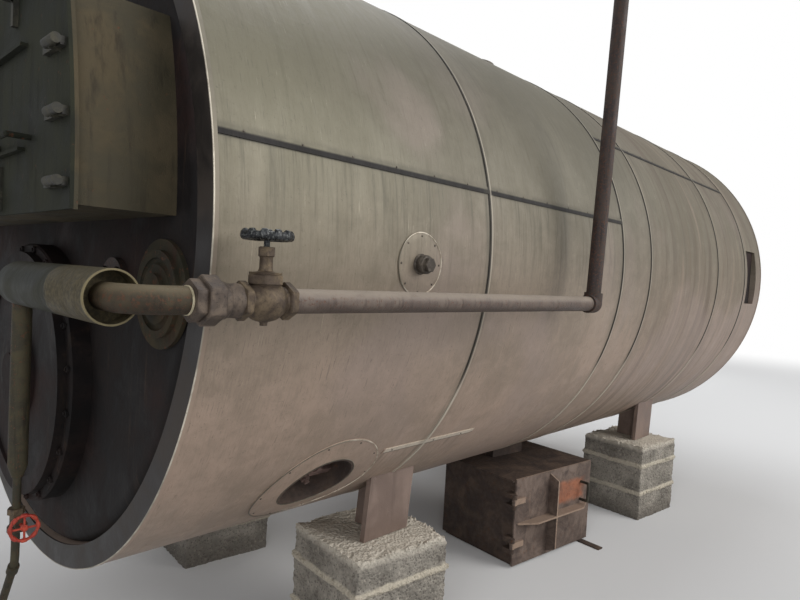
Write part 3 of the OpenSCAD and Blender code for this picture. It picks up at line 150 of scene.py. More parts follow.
class Finish:
    # one material, with the places that its patterns are measured by
    def __init__(self, name):
        self.material = bpy.data.materials.new(name)
        self.material.use_nodes = True
        self.tree = self.material.node_tree
        self.tree.nodes.clear()
        self.place = self.node("TexCoord", out="Object")
        self.x, self.y, self.z = (self.node("SeparateXYZ", None, {0: self.place}, k) for k in range(3))

    def node(self, kind, settings=None, sockets=None, out=0):
        made = self.tree.nodes.new("ShaderNode" + kind)
        for key, value in (settings or {}).items():
            setattr(made, key, value)
        for key, value in (sockets or {}).items():
            if isinstance(value, Wire):
                self.tree.links.new(value.socket, made.inputs[key])
            else:
                made.inputs[key].default_value = value
        return Wire(self, made.outputs[out])

    def at(self, x, y, z):
        return self.node("CombineXYZ", None, {0: x, 1: y, 2: z})

    def stretched(self, *by):
        return self.node("VectorMath", {"operation": "MULTIPLY"}, {0: self.place, 1: by})

    def noise(self, scale, detail=4, rough=0.55, at=None, bend=0.0):
        return self.node("TexNoise", None, {"Vector": at or self.place, "Scale": scale, "Detail": detail,
                                            "Roughness": rough, "Distortion": bend})

    def cells(self, scale):
        # distance from the nearest of many scattered points
        return self.node("TexVoronoi", None, {"Vector": self.place, "Scale": scale})

    def mix(self, base, over, factor):
        return self.node("Mix", {"data_type": "RGBA"}, {0: factor, 6: base, 7: over}, 2)

    def fromAxis(self):
        # distance from the boiler's axis
        y, z = self.y - boiler["axisY"], self.z - boiler["axisZ"]
        return (y * y + z * z) ** 0.5

    def fromCrown(self):
        # angle round the axis from the crown, the same on both sides
        y, z = self.y - boiler["axisY"], self.z - boiler["axisZ"]
        return abs(self.node("Math", {"operation": "ARCTAN2"}, {0: y, 1: z}))

    def facingUp(self):
        # 1 where the surface faces straight up, 0 where it stands, -1 below
        return self.node("SeparateXYZ", None, {0: self.node("NewGeometry", out="Normal")}, 2)

    def done(self, colour, roughness, metallic, height, depth, specular=0.5):
        # the shader itself, bumped by the height, which is as deep as the depth in metres
        bump = self.node("Bump", None, {"Height": height, "Distance": depth, "Strength": 1.0})
        shader = self.node("BsdfPrincipled", None, {
            "Base Color": colour, "Roughness": roughness, "Metallic": metallic,
            "Specular IOR Level": specular, "Normal": bump})
        end = self.tree.nodes.new("ShaderNodeOutputMaterial")
        self.tree.links.new(shader.socket, end.inputs[0])
        return self.material


# edge is the colour of the painted highlights on the seams and on the covers' edges
cladding = {"dull": tone(98, 92, 78), "bright": tone(124, 118, 104), "grime": tone(74, 70, 57),
            "warmTintAndSheen": tone(172, 149, 133), "brown": tone(108, 92, 76), "seam": tone(30, 27, 26),
            "edge": tone(206, 196, 180), "scratch": tone(186, 176, 156), "stain": tone(84, 70, 58),
            "olive": tone(104, 101, 80), "pink": tone(150, 134, 126)}


def claddingFinish(name, c, light=0.0):
    # satin sheet drawn round the boiler: fine hairlines, soft clouds, and dirt washed down from the seams
    f = Finish(name)
    angle = f.fromCrown()
    along = f.x - boiler["frontX"]
    hair = f.noise(1, 4, 0.7, f.at(along * 120, angle * 14, 0))
    streak = f.noise(1, 5, 0.65, f.at(along * 16, angle * 3.2, 4), 0.4)
    runs = f.noise(1, 5, 0.7, f.at(along * 46, angle * 2.4, 2), 0.2)
    broad = f.noise(1, 5, 0.6, f.at(along * 1.7, angle * 1.9, 9), 0.5)
    mottle = f.noise(11, 7, 0.7, bend=0.5)
    spots = f.noise(70, 4, 0.7)
    specks = f.noise(210, 3, 0.6)
    scratches = f.noise(1, 2, 0.5, f.at(along * 330, angle * 7, 6))
    drawn = f.noise(1, 3, 0.6, f.at(along * 11, angle * 0.7, 11), 0.3)
    rear = along.ramp(2.2, 3.2)
    cloud = (broad * 0.35 + mottle * 0.3 + streak * 0.1 + hair * 0.25).ramp(0.4 - light, 0.62 - light)
    colour = f.mix(c["dull"], c["bright"], cloud)
    # painted reflection: the lower sides warmer and lighter
    colour = f.mix(colour, c["warmTintAndSheen"], angle.ramp(1.25, 2.2, 0, 0.92) * cloud.ramp(0, 1, 0.6, 1))
    # darker towards the crown, in mottled patches: partly grime, partly painted shade
    colour = f.mix(colour, c["grime"], angle.ramp(1.7, 0.45, 0, 0.62) * mottle.ramp(0.34, 0.66, 0.35, 1))
    colour = f.mix(colour, c["grime"], runs.ramp(0.5, 0.7, 0, 0.5) * angle.ramp(1.7, 1.1))
    colour = f.mix(colour, c["brown"], rear * runs.ramp(0.4, 0.66, 0.1, 0.6))
    colour = f.mix(colour, c["stain"], rear * drawn.ramp(0.5, 0.62, 0, 0.62) * broad.ramp(0.3, 0.6, 0.5, 1))
    colour = f.mix(colour, c["warmTintAndSheen"], rear * drawn.ramp(0.42, 0.34, 0, 0.25))
    tint = f.noise(1, 3, 0.5, f.at(along * 1.3, angle * 1.2, 15), 0.4)
    olive = along.ramp(1.1, 0.1, 0.15, 0.55) * tint.ramp(0.35, 0.6) * angle.ramp(2.0, 1.3)
    colour = f.mix(colour, c["olive"], olive)
    colour = f.mix(colour, c["pink"], tint.ramp(0.52, 0.36, 0, 0.45) * angle.ramp(0.8, 1.4))
    colour = f.mix(colour, c["grime"], hair.ramp(0.54, 0.7, 0, 0.42))
    colour = f.mix(colour, c["grime"], specks.ramp(0.6, 0.7, 0, 0.5) * spots.ramp(0.42, 0.6))
    colour = f.mix(colour, c["scratch"], scratches.ramp(0.66, 0.74, 0, 0.6) * mottle.ramp(0.5, 0.62))
    colour = f.mix(colour, c["grime"], spots.ramp(0.6, 0.72, 0, 0.4) * mottle.ramp(0.4, 0.6))
    colour = f.mix(colour, c["brown"], runs.ramp(0.6, 0.78, 0, 0.35) * broad.ramp(0.62, 0.4, 0.2, 1))
    nearSide = (f.y - boiler["axisY"]).ramp(0.1, -0.1)
    sooty = along * 0  # the dark seams, which are rougher than the sheet and have no metal's sheen
    for key, seam in longSeams.items():
        part = along.ramp(seam["from"] - 0.001, seam["from"]) * along.ramp(seam["to"] + 0.001, seam["to"])
        part = part * nearSide if key == "lower" else part
        down = angle - math.radians(seam["angle"])
        washed = down.ramp(0, 0.012) * down.ramp(0.42, 0.02)
        colour = f.mix(colour, c["grime"], washed * part * runs.ramp(0.46, 0.7, 0, 0.6))
        # the upper strips are dark along their lower half; the lowest one has a painted highlight along its
        # edge, with a dark line under it
        off = down * boiler["sheetR"]
        if key == "lower":
            bright = part * abs(off).ramp(0.0145, 0.0125) * hair.ramp(0.3, 0.6, 0.5, 0.8)
            colour = f.mix(colour, c["edge"], bright)
            colour = f.mix(colour, c["seam"], part * abs(off - 0.0125).ramp(0.005, 0.002, 0, 0.8))
        else:
            shade = part * abs(off).ramp(0.03, 0.008, 0, 0.6) * mottle.ramp(0.3, 0.6)
            colour = f.mix(colour, c["grime"], shade)
            line = part * abs(off - 0.0065).ramp(0.0125, 0.005) * hair.ramp(0.2, 0.5, 0.85, 1)
            colour = f.mix(colour, c["seam"], line)
            sooty = sooty.above(line)
    for seam in boiler["seams"]:
        # the lapped sheet ends half a lap before the joint, and its edge has a painted highlight, stronger
        # low down
        off = along - seam + boiler["lap"] / 2
        worn = angle.ramp(1.9, 2.1)
        edge = abs(off - 0.012).ramp(0.006, 0.002, 0, 0.4)
        edge = edge + worn * abs(off - 0.003).ramp(0.009, 0.004, 0, 0.9)
        colour = f.mix(colour, c["edge"], edge)
        line = abs(off - 0.001).ramp(0.0095, 0.004) * worn.ramp(0, 1, 1, 0.1) * hair.ramp(0.2, 0.6, 0.7, 1)
        colour = f.mix(colour, c["seam"], line)
        sooty = sooty.above(line)
        colour = f.mix(colour, c["grime"], abs(off).ramp(0.045, 0.004, 0, 0.35) * runs.ramp(0.3, 0.6))
    rough = streak.ramp(0.3, 0.7, 0.46, 0.56) + rear * 0.06 + angle.ramp(1.3, 0.5, 0, 0.12) + sooty * 0.3
    height = hair * 0.1 + broad * 4 + streak * 0.3 + spots * 0.14 + mottle * 0.6
    return f.done(colour, rough, 0.3 - sooty * 0.3, height, 0.0014)


# distances from the axis where the closing ring's bright edge begins, and where it lies over the sheet
rim = {"edge": (1.1738, 1.1752), "over": (1.1765, 1.177)}


def rimFinish(c):
    # the closing ring: a sooty face, and a painted highlight on the edge where it turns over the sheet
    f = Finish("closingRing")
    radius, angle = f.fromAxis(), f.fromCrown()
    cloud = f.noise(7, 5, 0.6, bend=0.4)
    fine = f.noise(90, 4, 0.65)
    colour = f.mix(tone(40, 36, 35), tone(60, 53, 48), cloud.ramp(0.4, 0.66))
    edge = radius.ramp(*rim["edge"]) * (f.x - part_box("front_rim")[0][0]).ramp(0.004, 0.002)
    sheet = f.mix(c["dull"], c["bright"], cloud.ramp(0.3, 0.7))
    # painted reflection: the sheet warmer and lighter low down
    sheet = f.mix(sheet, c["warmTintAndSheen"], angle.ramp(1.25, 2.2, 0, 0.8))
    colour = f.mix(colour, sheet, radius.ramp(*rim["over"]))
    # painted highlight along the edge, flecked with dirt
    colour = f.mix(colour, f.mix(tone(150, 142, 128), tone(206, 198, 182), cloud.ramp(0.4, 0.6)), edge)
    colour = f.mix(colour, tone(96, 84, 70), edge * fine.ramp(0.58, 0.72, 0, 0.6))
    return f.done(colour, cloud.ramp(0.3, 0.7, 0.4, 0.6), 0.3, cloud * 0.4 + fine * 0.4, 0.001)


def beadFinish(cover, c):
    # edge of the covers: painted highlight towards the rear, painted shade in front and round the manhole's
    # mouth
    f = Finish("coverEdgeLitAndShaded")
    angle = f.fromCrown()
    along = f.x - boiler["frontX"]
    around = (angle - math.radians(cover["angle"])) * boiler["sheetR"]
    away = ((along - cover["x"]) ** 2 + around * around) ** 0.5
    cloud = f.noise(26, 5, 0.6, bend=0.5)
    bright = f.mix(tone(150, 138, 122), c["edge"], cloud.ramp(0.4, 0.6))
    paintedLight = along.ramp(cover["x"] - 0.02, cover["x"] + 0.08, 0.12, 1) * away.ramp(0.16, 0.2, 0.3, 1)
    return f.done(f.mix(c["grime"], bright, paintedLight), cloud.ramp(0.3, 0.7, 0.35, 0.5), 0.4, cloud, 0.0006)


def darkPlateFinish():
    # flat front, black with soot that has flaked and run
    f = Finish("sootyPlate")
    soot = f.noise(5, 5, 0.65, bend=0.6)
    runs = f.noise(1, 4, 0.7, f.stretched(8, 26, 1.6))
    flakes = f.noise(60, 3, 0.6)
    colour = f.mix(tone(21, 18, 18), tone(38, 32, 30), soot.ramp(0.4, 0.7))
    colour = f.mix(colour, tone(64, 50, 39), runs.ramp(0.58, 0.75, 0, 0.6))
    colour = f.mix(colour, tone(58, 34, 29), f.noise(2.2, 4, 0.6).ramp(0.5, 0.7, 0, 0.35))
    colour = f.mix(colour, tone(20, 18, 20), flakes.ramp(0.55, 0.68, 0, 0.6))
    height = soot * 0.6 + flakes * 0.5 + runs * 0.3
    return f.done(colour, soot.ramp(0.3, 0.7, 0.6, 0.85), 0, height, 0.0015, 0.2)


def agedPaint(name, base, worn, grime, rust=0.25, rough=0.6, scale=1.0, metallic=0.1, specular=0.5,
              dustAndTopLight=None):
    # old paint: clouded tone, grime that runs down, small rusty chips, dust and painted top light on what
    # faces up, and painted shade on what faces down
    f = Finish(name)
    cloud = f.noise(6 * scale, 5, 0.6, bend=0.4)
    runs = f.noise(1, 4, 0.65, f.stretched(30 * scale, 30 * scale, 2.2 * scale))
    chips = f.noise(48 * scale, 4, 0.7)
    grain = f.noise(260 * scale, 2, 0.5)
    colour = f.mix(base, worn, cloud.ramp(0.38, 0.66))
    colour = f.mix(colour, grime, runs.ramp(0.5, 0.72, 0, 0.7))
    colour = f.mix(colour, tone(92, 58, 40), chips.ramp(0.74 - rust * 0.3, 0.8 - rust * 0.2, 0, 0.7))
    if dustAndTopLight:
        # lighter where it faces up: dust and painted top light
        colour = f.mix(colour, dustAndTopLight, f.facingUp().ramp(0.1, 0.85, 0, 0.75) * cloud.ramp(0.2, 0.5, 0.6, 1))
        # painted shade: darker where it faces down
        colour = f.mix(colour, grime, f.facingUp().ramp(-0.1, -0.7, 0, 0.5))
    height = cloud * 0.5 - chips.ramp(0.5, 0.8) * 0.6 + grain * 0.3
    return f.done(colour, cloud.ramp(0.3, 0.7, rough - 0.1, rough + 0.15), metallic, height, 0.0012, specular)


def sleeveFinish(box):
    # dull sheet wrapped round the lagging, its tones darkened with painted shade, with a paler band near its
    # open end
    f = Finish("sleeveSheetShaded")
    cloud = f.noise(8, 5, 0.6, bend=0.5)
    fine = f.noise(110, 4, 0.65)
    wraps = f.noise(1, 3, 0.6, f.stretched(6, 60, 6))
    # dark base tones: the sheet's colour with painted shade in it
    colour = f.mix(tone(30, 32, 25), tone(48, 48, 37), cloud.ramp(0.36, 0.66))
    colour = f.mix(colour, tone(24, 22, 18), wraps.ramp(0.5, 0.7, 0, 0.5))
    wrap = (f.y - box[0][1] + cloud * 0.12 - 0.06).ramp(0.235, 0.225)
    colour = f.mix(colour, f.mix(tone(64, 57, 40), tone(88, 78, 55), fine.ramp(0.4, 0.62)), wrap * 0.85)
    colour = f.mix(colour, tone(122, 112, 84), (f.y - box[0][1]).ramp(0.006, 0.003, 0, 0.8))
    colour = f.mix(colour, tone(74, 69, 54), f.facingUp().ramp(0.5, 1, 0, 0.35))
    height = cloud * 0.6 + wraps * 0.5 + fine * 0.3 + wrap * 0.6
    return f.done(colour, cloud.ramp(0.3, 0.7, 0.5, 0.75), 0.1, height, 0.0015, 0.3)


def rustFinish(name, dark, light, door=None):
    # scaled and pitted steel; the door has an orange patch, ledges lighter with dust and painted top light,
    # and a painted
    # # highlight on the edges that stand proud of its face
    f = Finish(name)
    cloud = f.noise(7, 6, 0.7, bend=0.8)
    pits = f.cells(90)
    scale = f.noise(38, 5, 0.7)
    runs = f.noise(1, 4, 0.7, f.stretched(24, 24, 2))
    colour = f.mix(dark, light, cloud.ramp(0.35, 0.68))
    colour = f.mix(colour, tone(112, 72, 48), scale.ramp(0.58, 0.74, 0, 0.55))
    colour = f.mix(colour, tone(52, 44, 42), f.noise(14, 5, 0.6).ramp(0.52, 0.7, 0, 0.55))
    colour = f.mix(colour, tone(150, 128, 112), runs.ramp(0.6, 0.76, 0, 0.35))
    if door:
        (px, pz), (sx, sz) = door["patch"], door["patchSize"]
        edge = f.noise(14, 4, 0.6) * 0.05 - 0.025
        inside = (abs(f.x - px + edge) / sx).above(abs(f.z - pz + edge) / sz).ramp(1.05, 0.55)
        colour = f.mix(colour, tone(166, 104, 74), inside * cloud.ramp(0.3, 0.6, 0.4, 0.85))
        colour = f.mix(colour, tone(126, 74, 54), inside * scale.ramp(0.5, 0.66, 0, 0.6))
        turn = math.radians(door["turn"])
        nx, ny = (f.node("SeparateXYZ", None, {0: f.node("NewGeometry", out="Normal")}, k) for k in (0, 1))
        outwards = (nx * -math.sin(turn) + ny * -math.cos(turn)).ramp(0.7, 0.9)
        proud = (f.x * -math.sin(turn) + f.y * -math.cos(turn) - door["face"]).ramp(0.003, 0.007)
        # painted highlight on the edges that stand proud of the door's face
        colour = f.mix(colour, tone(158, 136, 118), outwards * proud * scale.ramp(0.3, 0.55, 0.35, 0.9))
        # lighter where it faces up: dust and painted top light
        colour = f.mix(colour, tone(150, 130, 114), f.facingUp().ramp(0.6, 0.9, 0, 0.8))
    height = cloud * 0.7 + scale * 0.6 + pits.ramp(0, 0.35) * 0.4
    return f.done(colour, scale.ramp(0.3, 0.7, 0.62, 0.9), 0.2, height, 0.002)


def concreteFinish():
    # open-grained blocks: pits and stones, pale mortar in the joints, pale dust on top and a dark foot
    f = Finish("roughConcrete")
    cloud = f.noise(5, 5, 0.6)
    grit = f.cells(84)
    stones = f.cells(42)
    fine = f.noise(130, 4, 0.7)
    colour = f.mix(tone(124, 119, 111), tone(158, 152, 142), cloud.ramp(0.35, 0.65))
    colour = f.mix(colour, tone(60, 56, 52), grit.ramp(0.16, 0.4, 0.75, 0) * fine.ramp(0.3, 0.6))
    colour = f.mix(colour, tone(182, 175, 162), stones.ramp(0.34, 0.12, 0, 0.6) * fine.ramp(0.4, 0.6, 0.4, 1))
    colour = f.mix(colour, tone(90, 83, 78), f.noise(17, 4, 0.6).ramp(0.55, 0.7, 0, 0.6))
    wave = f.noise(9, 3, 0.6) * 0.02 - 0.01
    for joint in pier["joints"]:
        mortar = abs(f.z - joint + wave).ramp(0.019, 0.010)
        colour = f.mix(colour, tone(194, 185, 168), mortar * fine.ramp(0.3, 0.55, 0.4, 0.95))
    dusty = f.z.ramp(*pier["dusty"], 0, 0.85) * fine.ramp(0.25, 0.5, 0.5, 1)
    colour = f.mix(colour, tone(204, 196, 182), dusty)
    colour = f.mix(colour, tone(84, 77, 71), f.z.ramp(*pier["dark"], 0, 0.6) * cloud.ramp(0.3, 0.6, 0.4, 1))
    return f.done(colour, 0.92, 0.0, grit * 1.2 + fine * 0.6 + stones * 0.6, 0.006, 0.2)


def metalFinish(name, base, light, grime, rough=0.45, metallic=0.5):
    # handled metal: worn bright on the open parts, with grime that sits in patches
    f = Finish(name)
    cloud = f.noise(26, 5, 0.6, bend=0.5)
    fine = f.noise(190, 4, 0.65)
    colour = f.mix(base, light, cloud.ramp(0.4, 0.68))
    colour = f.mix(colour, grime, fine.ramp(0.5, 0.68, 0, 0.75) * cloud.ramp(0.75, 0.35, 0.3, 1))
    height = cloud * 0.4 + fine * 0.5
    return f.done(colour, cloud.ramp(0.3, 0.7, rough, rough + 0.22), metallic, height, 0.0008)


looks = {
    "cladding": claddingFinish("cladding", cladding),
    "rim": rimFinish(cladding),
    "coverSheet": claddingFinish("coverSheet", cladding, 0.05),
    "bead": beadFinish(covers["manhole"], cladding),
    "tape": metalFinish("paleTape", tone(170, 160, 132), tone(198, 188, 160), tone(110, 98, 80), 0.6, 0.0),
    "screw": metalFinish("dullScrew", tone(66, 60, 54), tone(112, 104, 94), tone(40, 34, 30), 0.4, 0.6),
    "darkPlate": darkPlateFinish(),
    "boilerPlate": agedPaint("boilerPlate", tone(84, 78, 72), tone(104, 96, 88), tone(56, 50, 46), 0.5),
    # smokebox tones partly darkened with painted shade
    "smokebox": agedPaint("smokeboxPaintPartlyShaded", tone(62, 57, 43), tone(80, 71, 54), tone(44, 39, 31),
                          0.3, 0.7, specular=0.25),
    "smokeDoor": agedPaint("smokeDoorPaint", tone(33, 35, 28), tone(48, 49, 39), tone(24, 23, 20),
                           0.35, 0.7, specular=0.15),
    "frontCover": agedPaint("frontCoverPaint", tone(42, 40, 31), tone(70, 62, 47), tone(56, 38, 30),
                            0.6, 0.72, specular=0.2),
    "clamp": metalFinish("clampSteel", tone(38, 37, 30), tone(68, 65, 52), tone(24, 22, 19), 0.5, 0.2),
    # manhole bridge: a lighter copy of the manhole's steel, painted light
    "bridge": metalFinish("litBridgeSteel", tone(96, 77, 71), tone(132, 108, 99), tone(58, 44, 40), 0.5, 0.2),
    "rust": rustFinish("rustySteel", tone(60, 49, 44), tone(90, 74, 63)),
    "ashDoor": rustFinish("ashDoorRust", tone(86, 73, 66), tone(122, 106, 96), ashDoor),
    "leg": agedPaint("legPaint", tone(110, 93, 84), tone(130, 112, 102), tone(92, 78, 71), 0.25, 0.55),
    "concrete": concreteFinish(),
    "pipe": agedPaint("pipePaint", tone(88, 76, 69), tone(110, 98, 89), tone(60, 49, 43),
                      0.7, 0.5, 2.5, 0.2, 0.4, tone(150, 139, 126)),
    "bend": agedPaint("bendPaint", tone(56, 49, 38), tone(76, 67, 52), tone(40, 34, 28),
                      0.8, 0.6, 2.5, 0.1, 0.25, tone(102, 92, 72)),
    # riser and feed nozzle: tones darkened with painted shade
    "riser": agedPaint("riserPaintShaded", tone(48, 40, 39), tone(66, 57, 52), tone(32, 27, 27),
                       0.8, 0.6, 2.5, 0.2, 0.35),
    "sleeve": sleeveFinish(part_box("pipe_sleeve")),
    "bronze": metalFinish("tarnishedBronze", tone(72, 60, 49), tone(112, 97, 77), tone(44, 33, 28)),
    "union": metalFinish("unionIron", tone(70, 60, 53), tone(106, 93, 81), tone(42, 34, 30), 0.5, 0.35),
    # pale spots put where grime goes: partly worn metal, partly painted glints
    "blackWheel": metalFinish("blackWheel", tone(22, 23, 25), tone(62, 64, 66), tone(120, 122, 118),
                              0.2, 0.5),
    # drop pipe: tones darkened with painted shade
    "dropPipe": agedPaint("dropPipePaintShaded", tone(50, 47, 36), tone(72, 66, 49), tone(34, 30, 25),
                          0.6, 0.65, 2.5, 0.1, 0.3),
    "redWheel": agedPaint("redWheelPaint", tone(150, 40, 28), tone(184, 74, 50), tone(86, 34, 24),
                          0.5, 0.5, 5),
}
print("finishes made:", len(looks))

# the rest, such as the bands of cladding, have the cladding's look
nodeLooks = {
    "pressure_shell": "boilerPlate", "front_tube_plate": "darkPlate", "rear_end_plate": "darkPlate",
    "front_rim": "rim", "smokebox_casing": "smokebox", "smokebox_door": "smokeDoor",
    "smokebox_clamps": "clamp", "smokebox_handles": "smokeDoor", "furnace_mouth": "darkPlate",
    "furnace_cover": "darkPlate", "handhole_covers": "frontCover", "manhole_ring": "coverSheet",
    "manhole_neck": "rust", "manhole_lid": "rust", "manhole_bridge": "bridge",
    "inspection_cover": "coverSheet", "front_legs": "leg", "rear_legs": "leg",
    "front_piers": "concrete", "rear_piers": "concrete", "ash_box": "rust", "ash_door": "ashDoor",
    "ash_door_handle": "clamp", "feed_nozzle": "riser", "pipe_sleeve": "sleeve", "cross_pipe": "bend",
    "pipe_union": "union", "valve_body": "bronze", "valve_bonnet": "bronze",
    "valve_wheel": "blackWheel", "side_pipe": "pipe", "riser_pipe": "riser", "drop_pipe": "dropPipe",
    "drain_valve": "bronze", "drain_wheel": "redWheel", "crown_nozzles": "boilerPlate",
    "side_hatch": "darkPlate", "flue_outlet": "boilerPlate"}

for name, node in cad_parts.items():
    look = looks[nodeLooks.get(name, "cladding")]
    if not node.material_slots:
        node.data.materials.append(look)
    for slot in node.material_slots:
        slot.material = look


# a shape below is a pair: its points, and a list of face arrays, each with faces of one size


def skin(rings, wrap=False):
    # quads between neighbouring rings of points; both ends are closed by one face unless the rings wrap
    rows, n = rings.shape[:2]
    row = np.arange(rows if wrap else rows - 1)[:, None]
    here, after = np.arange(n), (np.arange(n) + 1) % n
    above = (row + 1) % rows
    quads = np.stack((row * n + here, row * n + after, above * n + after, above * n + here), -1)
    ends = [] if wrap else [np.stack((here[::-1], (rows - 1) * n + here))]
    return rings.reshape(-1, 3), [quads.reshape(-1, 4)] + ends


def turned(profile, sides=24):
    # a profile of (radius, height) swept round its axis: (r cos t, r sin t, h)
    t = np.linspace(0, 2 * np.pi, sides, endpoint=False)
    r, h = np.array(profile, float).T[:, :, None]
    return skin(np.stack((r * np.cos(t), r * np.sin(t), h + 0 * t), -1))


def fitting(stations, sides=72):
    # stations of (height, radius, hexagon share) swept round: r (1 + share (min(1 / cos u, 1.13) - 1)),
    # where u is the angle from the middle of the nearest flat
    t = np.linspace(0, 2 * np.pi, sides, endpoint=False)
    h, r, share = np.array(stations, float).T[:, :, None]
    flat = 1 / np.cos(np.mod(t, np.pi / 3) - np.pi / 6)
    r = r * (1 + share * (np.minimum(flat, 1.13) - 1))
    return skin(np.stack((r * np.cos(t), r * np.sin(t), h + 0 * t), -1))


def swept(path, radius, sides=12, wrap=False, up=(0, 0, 1)):
    # round bar along a path P: P + r (n cos a + b sin a), with n and b square to the path
    ahead = np.roll(path, -1, 0) - np.roll(path, 1, 0) if wrap else np.gradient(path, axis=0)
    ahead = ahead / np.linalg.norm(ahead, axis=1)[:, None]
    n = np.cross(up, ahead)
    n = n / np.linalg.norm(n, axis=1)[:, None]
    b = np.cross(ahead, n)
    a = np.linspace(0, 2 * np.pi, sides, endpoint=False)[:, None]
    rings = path[:, None] + radius * (n[:, None] * np.cos(a) + b[:, None] * np.sin(a))
    return skin(rings, wrap)


def standing(places, ahead, side):
    # frames at places, each with its Z axis ahead and its X axis as near to the side as it can be
    places = np.atleast_2d(places)
    z = np.broadcast_to(np.array(ahead, float), places.shape)
    z = z / np.linalg.norm(z, axis=1)[:, None]
    x = np.array(side, float) - z * (z @ np.array(side, float))[:, None]
    x = x / np.linalg.norm(x, axis=1)[:, None]
    return np.stack((x, np.cross(z, x), z), -1), places


def copied(shape, frames):
    # the shape once in every frame: R p + place
    turns, places = frames
    points = np.einsum("mij,nj->mni", turns, shape[0]) + places[:, None]
    shift = np.arange(len(places))[:, None, None] * len(shape[0])
    return points.reshape(-1, 3), [(faces + shift).reshape(-1, faces.shape[1]) for faces in shape[1]]


def joined(*shapes):
    starts = np.cumsum([0] + [len(points) for points, faces in shapes])
    return (np.concatenate([points for points, faces in shapes]),
            [block + start for (points, faces), start in zip(shapes, starts) for block in faces])


def grain(points, size, seed=0.0):
    # smooth random values from -0.5 to 0.5: the corners of each cell hold random numbers, which are
    # blended by 3 t^2 - 2 t^3 along each axis
    cell = np.floor(points / size)
    part = points / size - cell
    part = part * part * (3 - 2 * part)
    total = np.zeros(points.shape[:-1])
    for corner in np.ndindex(2, 2, 2):
        wave = np.sin((cell + corner) @ np.array((12.9898, 78.233, 37.719)) + seed) * 43758.5453
        total += np.prod(np.where(corner, part, 1 - part), -1) * (wave - np.floor(wave))
    return total - 0.5


def addPiece(name, shape, look, body="boiler", replaces=(), creased=35):
    mesh = bpy.data.meshes.new(name)
    mesh.from_pydata(shape[0].tolist(), [], [face for block in shape[1] for face in block.tolist()])
    mesh.materials.append(looks[look])
    piece = bpy.data.objects.new(name, mesh)
    bpy.context.scene.collection.objects.link(piece)
    mesh.shade_smooth()
    mesh.set_sharp_from_angle(angle=math.radians(creased))
    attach(piece, body)
    if replaces:
        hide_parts(*replaces)
    return piece


# skin of a pier, metres: the mortar's beads, the rounding at the top, the broken band below it, and depths;
# grains and waves are (cell, seed's shift, share), lumps and chips (cell, seed's shift, gain)
pierSkin = {"behind": 0.008, "beadHalf": 0.011, "roundFrom": 0.016, "roundOver": 0.014, "roundBy": 0.007,
            "short": 0.004, "brokenFrom": 0.475, "brokenOver": 0.04, "rimFrom": 0.012, "rimOver": 0.05,
            "rough": 0.011, "broken": 0.024, "lump": 0.009, "topBroken": 0.026, "topRough": 0.006,
            "drop": 0.010, "grains": ((0.085, 0, 0.4), (0.028, 3, 0.4), (0.014, 5, 0.9)),
            "waves": ((0.09, 13, 0.018), (0.02, 14, 0.008)), "lumps": (0.05, 11, 2.4),
            "bigChips": (0.06, 8, 2.2), "smallChips": (0.021, 9, 1.6), "smallShare": 0.6}


def grains(points, seed, layers, start=0):
    # start + the sum of share times grain
    return sum((grain(points, cell, seed + shift) * share for cell, shift, share in layers), start)


def patches(points, seed, layer):
    # grain times gain, cut off below 0 and above 1
    cell, shift, gain = layer
    return np.clip(grain(points, cell, seed + shift) * gain, 0, 1)


